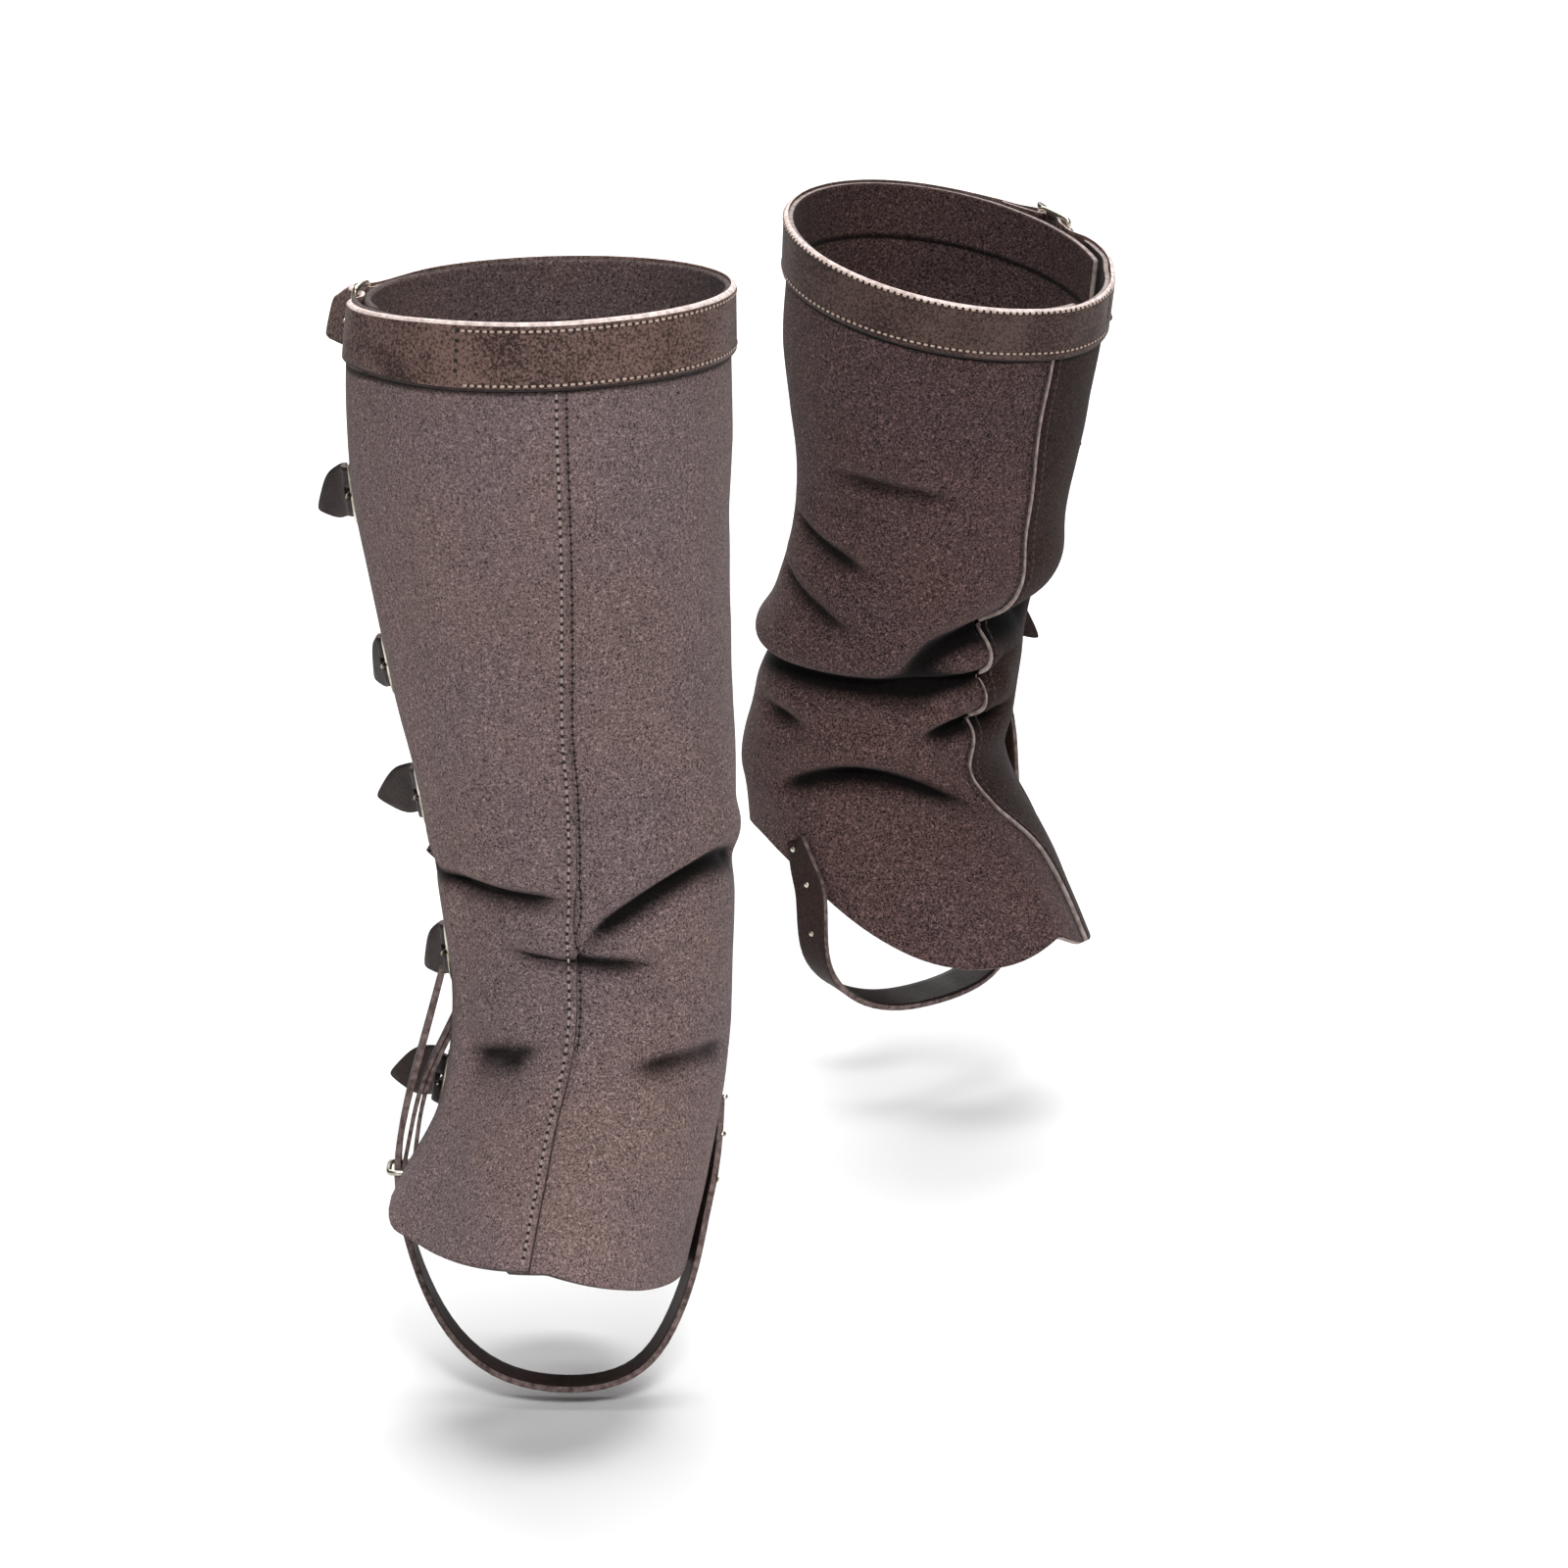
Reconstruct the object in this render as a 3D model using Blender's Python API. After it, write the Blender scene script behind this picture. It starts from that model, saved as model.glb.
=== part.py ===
"""A pair of worn suede gaiters, mirror images of each other, each with a leather top band, five side
straps with buckles and a strap that passes under the foot. They keep the hollow form of the legs that
wear them: the near one nearly straight, the far one turned, leaning forward and slouched in deep folds.

Units are metres, +Z up. Each gaiter is worked out in its own frame: the floor under the ankle is the
origin, the front is -Y and the outer side of the leg is +X. An angle of 0 is the front seam, 90 the outer
side, 180 the back and 270 (or -90) the inner side. "Along" runs from 0 at the top edge to 1 at the hem.
"""

import math

import bmesh
import bpy
from mathutils import Matrix, Vector

for item in list(bpy.data.objects):
    bpy.data.objects.remove(item, do_unlink=True)

# Leather and metal sizes
GAP = 0.0003
SUEDE = 0.0020
BAND_WIDTH = 0.0255
BAND_THICK = 0.0020
BAND_STRAP_WIDTH = 0.0220
STRAP_WIDTH = 0.0190
STRAP_THICK = 0.0020
CHAPE_THICK = 0.0016
WIRE = 0.0024
PRONG = 0.0018
SLOT = 0.0034
STIRRUP_WIDTH = 0.0150
STIRRUP_THICK = 0.0024
STIRRUP_ROOM = 0.0010
STIRRUP_CHAPE_WIDTH = 0.0100

# Seams and edges, as angles in degrees
SEAM_EDGE = -1.5
SEAM_LAP = 9.0
TUCK = 17.0
PANEL_TOP = 0.004

# The buckle in its own frame: distances behind the outer panel's edge, heights over the inner panel
FREE_BAR_S = 0.0045
FREE_BAR_H = 0.0044
HINGE_S = 0.0210
HINGE_H = 0.0039
BUCKLE_MIDDLE_S = 0.0130
BUCKLE_ROOM = 0.0005
STRAP_ROOM = 0.0008
BAND_SETBACK = 0.0080

# Where the gaiters' shared origin lies: the middle of the near one's top opening
TOP_MIDDLE = Vector((-0.016, 0.010, 0.4255))

# The worn form, row by row: the place along, the heights at the front and back, how far the outer side and
# both sides drop, the middle and half the width across, the front and back in y, and the seam's turn
NEAR_SECTIONS = (
    (0.00, 0.428, 0.424, -0.002, 0.000, 0.0148, 0.0683, -0.058, 0.079, -5.2),
    (0.08, 0.402, 0.398, -0.002, 0.000, 0.0160, 0.0697, -0.060, 0.080, -5.4),
    (0.16, 0.373, 0.369, 0.000, 0.000, 0.0158, 0.0697, -0.061, 0.080, -5.6),
    (0.23, 0.348, 0.344, 0.000, 0.000, 0.0150, 0.0685, -0.060, 0.078, -5.6),
    (0.31, 0.320, 0.316, 0.000, 0.000, 0.0125, 0.0657, -0.058, 0.074, -4.0),
    (0.38, 0.295, 0.291, 0.000, 0.000, 0.0101, 0.0631, -0.056, 0.069, -1.9),
    (0.45, 0.270, 0.266, 0.000, 0.000, 0.0070, 0.0610, -0.053, 0.064, 0.8),
    (0.52, 0.246, 0.242, 0.000, 0.000, 0.0033, 0.0586, -0.051, 0.059, 2.8),
    (0.60, 0.217, 0.212, 0.000, 0.000, 0.0003, 0.0557, -0.049, 0.055, 5.4),
    (0.68, 0.188, 0.182, 0.000, 0.000, -0.0016, 0.0528, -0.049, 0.052, 8.6),
    (0.75, 0.164, 0.155, 0.000, 0.000, -0.0028, 0.0508, -0.052, 0.051, 9.2),
    (0.81, 0.143, 0.131, 0.001, 0.001, -0.0016, 0.0502, -0.058, 0.051, 10.5),
    (0.87, 0.122, 0.105, 0.003, 0.002, 0.0016, 0.0502, -0.070, 0.053, 13.0),
    (0.93, 0.102, 0.078, 0.005, 0.003, 0.0066, 0.0505, -0.085, 0.056, 12.0),
    (1.00, 0.077, 0.045, 0.008, 0.0045, 0.0150, 0.0503, -0.106, 0.060, 8.5),
)

FAR_SECTIONS = (
    (0.00, 0.352, 0.385, 0.000, 0.000, 0.004, 0.0650, -0.0950, 0.038, -4.0),
    (0.09, 0.326, 0.357, 0.000, 0.000, 0.004, 0.0648, -0.0905, 0.039, -4.0),
    (0.18, 0.302, 0.328, 0.000, 0.000, 0.004, 0.0632, -0.0845, 0.040, -4.0),
    (0.27, 0.279, 0.301, 0.000, 0.000, 0.004, 0.0592, -0.0800, 0.038, -3.0),
    (0.36, 0.253, 0.272, 0.000, 0.000, 0.004, 0.0550, -0.0740, 0.036, -2.0),
    (0.44, 0.229, 0.245, 0.000, 0.000, 0.003, 0.0533, -0.0660, 0.039, -1.0),
    (0.52, 0.204, 0.217, 0.000, 0.000, 0.003, 0.0540, -0.0560, 0.049, 0.0),
    (0.59, 0.183, 0.194, 0.000, 0.000, 0.003, 0.0545, -0.0510, 0.055, 0.0),
    (0.66, 0.163, 0.172, 0.000, 0.000, 0.003, 0.0535, -0.0480, 0.060, 0.0),
    (0.73, 0.145, 0.153, 0.000, 0.000, 0.003, 0.0540, -0.0435, 0.066, 0.0),
    (0.80, 0.130, 0.140, 0.000, 0.002, 0.003, 0.0550, -0.0510, 0.068, 7.0),
    (0.87, 0.114, 0.129, 0.000, 0.005, 0.003, 0.0560, -0.0690, 0.067, 20.0),
    (0.93, 0.099, 0.119, 0.000, 0.009, 0.003, 0.0570, -0.0820, 0.066, 25.0),
    (1.00, 0.0816, 0.108, 0.000, 0.0135, 0.003, 0.0580, -0.0940, 0.065, 25.0),
)

# Each fold runs from an angle and height to an angle and height. Then come how far it bends at its middle,
# how deep it is pressed in, how far it reaches above and below, and how far the cloth over it rolls out.
NEAR_FOLDS = (
    (104.0, 0.203, -6.0, 0.205, -0.001, 0.0052, 0.0060, 0.0022),
    (3.0, 0.186, -106.0, 0.203, 0.018, 0.0058, 0.0072, 0.0022),
    (40.0, 0.183, -40.0, 0.179, 0.000, 0.0034, 0.0050, 0.0012),
    (64.0, 0.1275, 12.0, 0.1545, 0.000, 0.0036, 0.0060, 0.0014),
    (-14.0, 0.140, -92.0, 0.137, 0.002, 0.0028, 0.0070, 0.0010),
    (-114.0, 0.206, -188.0, 0.197, 0.004, 0.0040, 0.0080, 0.0014),
    (-120.0, 0.165, -230.0, 0.170, 0.000, 0.0030, 0.0080, 0.0012),
    (-150.0, 0.285, -215.0, 0.270, 0.000, 0.0020, 0.0100, 0.0006),
)

FAR_FOLDS = (
    (-82.0, 0.277, -40.0, 0.272, 0.001, 0.0030, 0.0060, 0.0010),
    (-128.0, 0.252, -70.0, 0.236, 0.001, 0.0040, 0.0065, 0.0015),
    (-135.0, 0.228, -72.0, 0.209, 0.002, 0.0045, 0.0065, 0.0020),
    (-170.0, 0.194, 14.0, 0.188, -0.002, 0.0085, 0.0070, 0.0050),
    (-52.0, 0.196, 62.0, 0.213, 0.008, 0.0070, 0.0070, 0.0048),
    (-38.0, 0.161, 30.0, 0.171, 0.003, 0.0085, 0.0070, 0.0040),
    (-96.0, 0.137, -4.0, 0.132, 0.014, 0.0060, 0.0065, 0.0034),
    (-128.0, 0.173, -76.0, 0.164, 0.000, 0.0045, 0.0060, 0.0018),
    (-165.0, 0.160, -250.0, 0.166, 0.000, 0.0050, 0.0080, 0.0020),
    (-185.0, 0.232, -250.0, 0.222, 0.000, 0.0040, 0.0090, 0.0016),
)

# Each strap: the height of its middle at the outer side, how far its tip reaches past the buckle, the
# angles by which the tip flares out from the leg and droops, and how far its buckle is set back
NEAR_BAND_END = (0.4110, 0.024, 44.0, 40.0)
NEAR_STRAPS = (
    (0.3470, 0.030, 40.0, 24.0, 0.0),
    (0.2820, 0.023, 30.0, 29.0, 0.0),
    (0.2310, 0.037, 46.0, 10.0, 0.0),
    (0.1700, 0.024, 42.0, 28.0, 0.0),
    (0.1190, 0.033, 46.0, 20.0, 0.0),
)

FAR_BAND_END = (0.3560, 0.068, 132.0, 44.0)
FAR_STRAPS = (
    (0.2900, 0.038, 130.0, 33.0, 0.0),
    (0.2420, 0.038, 128.0, 42.0, 0.0),
    (0.1990, 0.040, 130.0, 37.0, 0.0),
    (0.1660, 0.039, 130.0, 49.0, 0.0),
    (0.1190, 0.022, 8.0, 8.0, 0.006),
)

# The strap under the foot, from its inner end to its free outer end: the middle of its path and the slope
# of its width, in degrees from level toward the back. Where it lies on the gaiter's side, x is only which
# side, and the place across is worked out from the cloth.
NEAR_STIRRUP = (
    (-1.0, 0.0080, 0.1100, 30.0, True),
    (-1.0, 0.0010, 0.0970, 30.0, True),
    (-1.0, -0.0060, 0.0830, 30.0, True),
    (-1.0, -0.0120, 0.0700, 28.0, True),
    (-0.0388, -0.0180, 0.0520, 24.0, False),
    (-0.0320, -0.0240, 0.0330, 16.0, False),
    (-0.0220, -0.0290, 0.0160, 6.0, False),
    (-0.0060, -0.0310, 0.0080, 0.0, False),
    (0.0160, -0.0310, 0.0072, 0.0, False),
    (0.0370, -0.0270, 0.0110, 0.0, False),
    (0.0540, -0.0200, 0.0240, 0.0, False),
    (0.0650, -0.0120, 0.0430, 0.0, False),
    (0.0722, -0.0060, 0.0650, 0.0, False),
    (0.0750, -0.0040, 0.0860, 0.0, False),
    (0.0728, -0.0040, 0.1020, 0.0, False),
    (0.0690, -0.0040, 0.1190, 0.0, False),
    (0.0630, -0.0040, 0.1400, 0.0, False),
    (0.0565, -0.0040, 0.1650, 0.0, False),
)
NEAR_RING_ROW = 13
NEAR_CHAPE = ((0.0652, -0.0036, 0.1180), (0.0567, -0.0020, 0.1350), (0.0502, 0.0010, 0.1480))

FAR_STIRRUP = (
    (-1.0, 0.0020, 0.1180, 28.0, True),
    (-1.0, -0.0040, 0.1040, 28.0, True),
    (-1.0, -0.0090, 0.0900, 26.0, True),
    (-0.0618, -0.0125, 0.0740, 24.0, False),
    (-0.0580, -0.0165, 0.0620, 22.0, False),
    (-0.0490, -0.0215, 0.0530, 20.0, False),
    (-0.0320, -0.0255, 0.0470, 18.0, False),
    (-0.0100, -0.0270, 0.0450, 16.0, False),
    (0.0160, -0.0270, 0.0450, 16.0, False),
    (0.0370, -0.0240, 0.0480, 15.0, False),
    (0.0530, -0.0190, 0.0570, 12.0, False),
    (0.0640, -0.0120, 0.0710, 8.0, False),
    (0.0700, -0.0060, 0.0860, 4.0, False),
    (0.0728, -0.0025, 0.0990, 0.0, False),
    (0.0772, 0.0000, 0.1130, 0.0, False),
    (0.0781, 0.0020, 0.1270, 0.0, False),
    (0.0778, 0.0025, 0.1420, 0.0, False),
    (0.0760, 0.0025, 0.1600, 0.0, False),
)
FAR_RING_ROW = 13
FAR_CHAPE = (
    (0.0735, 0.0010, 0.1110), (0.0738, 0.0025, 0.1320), (0.0700, 0.0030, 0.1385),
    (0.0616, 0.0030, 0.1450), (0.0594, 0.0030, 0.1525))


def clamp(value, low=0.0, high=1.0):
    return max(low, min(high, value))


def smooth(value):
    """0 below 0, 1 above 1, and a soft step between."""
    value = clamp(value)
    return value * value * (3 - 2 * value)


def read_row(rows, place):
    """The row of a table at a place in its first column, on smooth curves through the table's rows."""
    last = len(rows) - 2
    index = max([i for i in range(last + 1) if rows[i][0] <= place], default=0)
    low, high = rows[index], rows[index + 1]
    before = rows[max(index - 1, 0)]
    after = rows[min(index + 2, last + 1)]
    span = high[0] - low[0]
    t = (place - low[0]) / span
    found = []
    for column in range(1, len(low)):
        slope_in = (high[column] - before[column]) / (high[0] - before[0]) * span
        slope_out = (after[column] - low[column]) / (after[0] - low[0]) * span
        found.append(
            (2 * t**3 - 3 * t**2 + 1) * low[column]
            + (t**3 - 2 * t**2 + t) * slope_in
            + (-2 * t**3 + 3 * t**2) * high[column]
            + (t**3 - t**2) * slope_out
        )
    return found


def turned(angle, start):
    """The angle, in degrees, moved by whole turns to lie within half a turn of start."""
    return start + (angle - start + 180.0) % 360.0 - 180.0


class Gaiter:
    """The worn form of one gaiter, and where a point on or over its surface lies."""

    STEP = 0.002

    def __init__(self, name, side, placement, sections, folds, closure, flare, corner):
        self.name = name
        self.side = side
        self.placement = placement
        self.sections = sections
        self.folds = folds
        self.closure = closure
        self.corner_flare = flare
        self.corner_round = corner

    def smooth_point(self, angle, along):
        """The leg's form without its folds, with the direction that faces away from the leg."""
        front_z, back_z, lean, wave, centre_x, half_width, front_y, back_y, seam = read_row(
            self.sections, along)
        facing_front = max(0.0, math.cos(math.radians(angle)))
        turn = math.radians(angle + seam * facing_front**2)
        depth = (back_y - front_y) / 2
        ahead, aside = math.cos(turn), math.sin(turn)
        height = (front_z + back_z) / 2 + ahead * (front_z - back_z) / 2
        height += lean * aside - wave * abs(aside) * ahead * 2
        point = Vector((
            centre_x + half_width * aside,
            (front_y + back_y) / 2 - depth * ahead,
            height,
        ))
        outward = Vector((aside * depth, -ahead * half_width, 0.0)).normalized()
        return point, outward

    def surface(self, angle, along):
        """The outer face of the inner panel, folds included."""
        point, outward = self.smooth_point(angle, along)
        pressed = 0.0
        sagged = 0.0
        aside = abs(turned(angle, self.closure + 8.0) - self.closure - 8.0)
        free = 0.25 + 0.75 * smooth((aside - 20.0) / 18.0)
        for from_angle, from_height, to_angle, to_height, bow, depth, reach, roll in self.folds:
            middle = (from_angle + to_angle) / 2
            here = turned(angle, middle)
            share = (here - from_angle) / (to_angle - from_angle)
            if share <= 0.0 or share >= 1.0:
                continue
            fade = smooth(min(share, 1.0 - share) * 3.2) * free
            line = from_height + (to_height - from_height) * share + bow * math.sin(math.pi * share)
            away = (point.z - line) / reach
            trough = math.exp(-away * away)
            over = math.exp(-(((away - 1.9) / 1.0) ** 2))
            pressed += fade * (roll * over - depth * trough)
            sagged += fade * roll * 0.7 * math.exp(-(((away - 1.2) / 1.0) ** 2))
        return point + outward * pressed - Vector((0.0, 0.0, sagged))

    def slopes(self, angle, along):
        """How the surface moves per degree and per unit along."""
        low = max(along - self.STEP, 0.0)
        high = min(along + self.STEP, 1.0)
        down = (self.surface(angle, high) - self.surface(angle, low)) / (high - low)
        across = self.surface(angle + 0.5, along) - self.surface(angle - 0.5, along)
        return across, down

    def normal(self, angle, along):
        across, down = self.slopes(angle, along)
        return down.cross(across).normalized()

    def over(self, angle, along, height):
        """A point this far outside the inner panel's outer face."""
        along = clamp(along)
        return self.surface(angle, along) + self.normal(angle, along) * height

    def along_at(self, angle, height):
        """Where the surface reaches this height at this angle."""
        low, high = 0.0, 1.0
        for _ in range(24):
            middle = (low + high) / 2
            if self.smooth_point(angle, middle)[0].z > height:
                low = middle
            else:
                high = middle
        return (low + high) / 2

    def inner_side_point(self, y, height, room):
        """The point this far outside the cloth on the leg's inner side, at this y and height."""
        low, high = -150.0, -20.0
        for _ in range(24):
            middle = (low + high) / 2
            if self.surface(middle, self.along_at(middle, height)).y > y:
                low = middle
            else:
                high = middle
        return self.over(low, self.along_at(low, height), room)

    def placed(self, point):
        """A point of the gaiter's own frame in the pair's frame."""
        return self.placement @ Vector((point.x * self.side, point.y, point.z)) - TOP_MIDDLE

    def outer_lift(self, angle, along):
        """How high the outer panel's inner face lies: over the straps that are sewn under its edge."""
        rise = smooth((angle - (self.closure - 26.0)) / 14.0)
        flare = smooth((angle - (self.closure - 34.0)) / 34.0) * smooth((along - 0.86) / 0.14)
        return GAP + (STRAP_THICK + STRAP_ROOM) * rise + self.corner_flare * flare

    def outer_hem(self, angle):
        """The outer panel's hem, rounded up at its rear corner."""
        into = clamp((angle - (self.closure - 15.0)) / 15.0)
        return 1.0 - self.corner_round * (1.0 - math.sqrt(1.0 - into * into))


def make_material(name, colour, roughness, metallic=0.0):
    material = bpy.data.materials.new(name)
    material.use_nodes = True
    shader = material.node_tree.nodes["Principled BSDF"]
    shader.inputs["Base Color"].default_value = (*colour, 1.0)
    shader.inputs["Roughness"].default_value = roughness
    shader.inputs["Metallic"].default_value = metallic
    return material


SUEDE_FINISH = make_material("suede", (0.17, 0.13, 0.12), 0.95)
BAND_FINISH = make_material("band_leather", (0.13, 0.08, 0.06), 0.5)
STRAP_FINISH = make_material("strap_leather", (0.045, 0.020, 0.016), 0.5)
METAL_FINISH = make_material("nickel", (0.60, 0.57, 0.50), 0.3, 1.0)


def add_object(name, material, shape):
    """Turns a finished bmesh into an object whose faces point out."""
    bmesh.ops.recalc_face_normals(shape, faces=shape.faces)
    if shape.calc_volume(signed=True) < 0:
        bmesh.ops.reverse_faces(shape, faces=shape.faces)
    mesh = bpy.data.meshes.new(name)
    shape.to_mesh(mesh)
    shape.free()
    mesh.materials.append(material)
    mesh.shade_smooth()
    mesh.set_sharp_from_angle(angle=math.radians(40))
    made = bpy.data.objects.new(name, mesh)
    bpy.context.scene.collection.objects.link(made)
    return made


def add_wall(name, material, gaiter, outer, inner, holes=()):
    """A wall between two equal grids of points, closed round its edges and round each left-out cell. Every
    cell is split the same way, so that walls laid over one another stay apart."""
    rows, columns = len(outer), len(outer[0])
    shape = bmesh.new()
    faces = [
        [[shape.verts.new(gaiter.placed(point)) for point in row] for row in grid]
        for grid in (outer, inner)
    ]
    cells = {(r, c) for r in range(rows - 1) for c in range(columns - 1)} - set(holes)
    top, bottom = faces
    for r, c in sorted(cells):
        corners = ((r, c), (r, c + 1), (r + 1, c + 1), (r + 1, c))
        for half in (corners[:3], (corners[0], corners[2], corners[3])):
            shape.faces.new([top[i][j] for i, j in half])
            shape.faces.new([bottom[i][j] for i, j in reversed(half)])
        neighbours = ((r - 1, c), (r, c + 1), (r + 1, c), (r, c - 1))
        for side in range(4):
            if neighbours[side] in cells:
                continue
            (i, j), (k, m) = corners[side], corners[(side + 1) % 4]
            shape.faces.new((top[k][m], top[i][j], bottom[i][j], bottom[k][m]))
    loose = [vert for vert in shape.verts if not vert.link_faces]
    bmesh.ops.delete(shape, geom=loose, context="VERTS")
    return add_object(name, material, shape)


def add_ribbon(name, material, gaiter, path, widths, thick, holes=()):
    """A strip of leather. The path gives, row by row, its middle, the way to its upper edge and the way
    out of its face; the widths list gives each row's places across it."""
    outer = []
    inner = []
    for (middle, up, out), places in zip(path, widths):
        outer.append([middle + up * place + out * (thick / 2) for place in places])
        inner.append([middle + up * place - out * (thick / 2) for place in places])
    return add_wall(name, material, gaiter, outer, inner, holes)


def add_tube(name, material, gaiter, path, radius, sides, closed):
    """Round wire along a path of points that lie in one plane, open with capped ends or a closed loop."""
    count = len(path)
    plane = (path[1] - path[0]).cross(path[count // 2] - path[1]).normalized()
    shape = bmesh.new()
    rings = []
    for index, point in enumerate(path):
        before = path[index - 1] if closed or index > 0 else point
        after = path[(index + 1) % count] if closed or index < count - 1 else point
        tangent = (after - before).normalized()
        across = tangent.cross(plane)
        ring = []
        for side in range(sides):
            turn = math.tau * (side + 0.5) / sides
            ring.append(shape.verts.new(gaiter.placed(
                point + (plane * math.cos(turn) + across * math.sin(turn)) * radius)))
        rings.append(ring)
    for index in range(count if closed else count - 1):
        low, high = rings[index], rings[(index + 1) % count]
        for side in range(sides):
            after = (side + 1) % sides
            shape.faces.new((low[side], low[after], high[after], high[side]))
    if not closed:
        shape.faces.new(rings[0])
        shape.faces.new(rings[-1])
    return add_object(name, material, shape)


def add_panel(name, gaiter, angles, alongs, top, hem, lift):
    """A cut piece of suede: a wall on the gaiter's surface from its top edge to its hem."""
    outer = []
    inner = []
    for share in alongs:
        outer_row = []
        inner_row = []
        for angle in angles:
            along = top + (hem(angle) - top) * share
            low = lift(angle, along)
            inner_row.append(gaiter.over(angle, along, low))
            outer_row.append(gaiter.over(angle, along, low + SUEDE))
        outer.append(outer_row)
        inner.append(inner_row)
    return add_wall(name, SUEDE_FINISH, gaiter, outer, inner)


def spaced(low, high, count):
    return [low + (high - low) * index / count for index in range(count + 1)]


class Buckling:
    """One strap's closure: the frame of axes on the gaiter where the buckle lies. The setback moves it
    farther behind the outer panel's edge."""

    def __init__(self, gaiter, height, setback=0.0):
        self.gaiter = gaiter
        self.setback = setback
        self.along = gaiter.along_at(gaiter.closure + 8.0, height)
        across, down = gaiter.slopes(gaiter.closure + 8.0, self.along)
        self.per_degree = across.length
        self.per_along = down.length
        middle = self.angle_at(BUCKLE_MIDDLE_S)
        self.origin = gaiter.over(middle, self.along, 0.0)
        self.out = gaiter.normal(middle, self.along)
        across, down = gaiter.slopes(middle, self.along)
        self.back = (across - self.out * across.dot(self.out)).normalized()
        self.up = self.out.cross(self.back)
        if self.up.z < 0:
            self.up = -self.up

    def angle_at(self, s):
        return self.gaiter.closure + (s + self.setback) / self.per_degree

    def straight(self, s, w, h):
        """A point in the buckle's straight frame: s behind the panel's edge, w up and h out."""
        return self.origin + self.back * (s - BUCKLE_MIDDLE_S) + self.up * w + self.out * h

    def laid(self, s, w, h):
        """The same, but followed round the gaiter's surface."""
        return self.gaiter.over(self.angle_at(s), self.along - w / self.per_along, h)

    def place(self, s, w, h):
        """Straight in the buckle and laid on the gaiter on both sides of it."""
        share = smooth((0.0035 - s) / 0.003) + smooth((s - 0.0245) / 0.004)
        return self.straight(s, w, h).lerp(self.laid(s, w, h), clamp(share))


def wall_rows(buckling, profile, widths, thick):
    """The outer and inner grids of a strip whose middle follows (s, h) places, at each row's widths."""
    outer = []
    inner = []
    count = len(profile)
    for index, (s, h) in enumerate(profile):
        before = profile[max(index - 1, 0)]
        after = profile[min(index + 1, count - 1)]
        run, rise = after[0] - before[0], after[1] - before[1]
        length = math.hypot(run, rise)
        lean_s, lean_h = -rise / length * thick / 2, run / length * thick / 2
        outer.append([buckling.place(s + lean_s, w, h + lean_h) for w in widths[index]])
        inner.append([buckling.place(s - lean_s, w, h - lean_h) for w in widths[index]])
    return outer, inner


def across_places(width, slot=SLOT):
    return (-width / 2, -slot / 2, slot / 2, width / 2)


# The strap's way through the buckle, as (distance behind the panel's edge, height of its middle)
LAID_H = GAP + STRAP_THICK / 2
THROUGH_BUCKLE = (
    (0.0000, LAID_H),
    (0.0045, LAID_H + 0.0002),
    (0.0074, 0.0019),
    (0.0102, 0.0046),
    (0.0148, 0.0089),
    (0.0172, 0.0093),
    (0.0215, 0.0093),
)
HOLE_FROM_END = 3


def strap_end(buckling, profile_start, width, tip_length, flare, droop):
    """The rows of a strap from a start profile, through the buckle and out to its pointed tip."""
    profile = list(profile_start) + list(THROUGH_BUCKLE)
    places = [across_places(width)] * len(profile)
    outer, inner = wall_rows(buckling, profile, places, STRAP_THICK)
    hole_row = len(profile_start) + HOLE_FROM_END
    s, h = profile[-1]
    middle = buckling.straight(s, 0.0, h)
    steps = 6
    stride = (tip_length + 0.004) / steps
    pointed = (1.0, 1.0, 1.0, 0.80, 0.46, 0.09)
    for step in range(steps):
        bend = smooth((step + 1) / 3.0)
        rise = math.radians(flare) * bend
        fall = math.radians(droop) * bend
        level = buckling.back * math.cos(rise) + buckling.out * math.sin(rise)
        ahead = level * math.cos(fall) - buckling.up * math.sin(fall)
        up = buckling.up * math.cos(fall) + level * math.sin(fall)
        out = buckling.out * math.cos(rise) - buckling.back * math.sin(rise)
        middle = middle + ahead * stride
        half = across_places(width * pointed[step], SLOT * min(1.0, pointed[step] * 0.8))
        outer.append([middle + up * w + out * (STRAP_THICK / 2) for w in half])
        inner.append([middle + up * w - out * (STRAP_THICK / 2) for w in half])
    return outer, inner, [(hole_row, 1)]


def add_strap(name, gaiter, buckling, tip_length, flare, droop):
    start = ((-0.0085 - buckling.setback, LAID_H), (-0.0040 - buckling.setback, LAID_H))
    outer, inner, holes = strap_end(buckling, start, STRAP_WIDTH, tip_length, flare, droop)
    return add_wall(name, STRAP_FINISH, gaiter, outer, inner, holes)


def fold_profile(thick, tail):
    """A strip folded round the hinge bar: its lower ply's tail first, and its upper ply's last."""
    low = 2 * GAP + thick / 2
    radius = WIRE / 2 + BUCKLE_ROOM + thick / 2
    profile = [(tail, low), (tail * 0.55 + HINGE_S * 0.45, low)]
    for turn in (-90.0, -145.0, 160.0, 110.0, 75.0):
        angle = math.radians(turn)
        profile.append((HINGE_S + radius * math.cos(angle), HINGE_H + radius * math.sin(angle)))
    profile.append((HINGE_S + 0.0038, HINGE_H + radius * 0.42))
    profile.append((HINGE_S + 0.0078, low + thick + GAP + 0.0002))
    return profile, low + thick + GAP


FOLD_SLOT_ROWS = range(1, 8)


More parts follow.
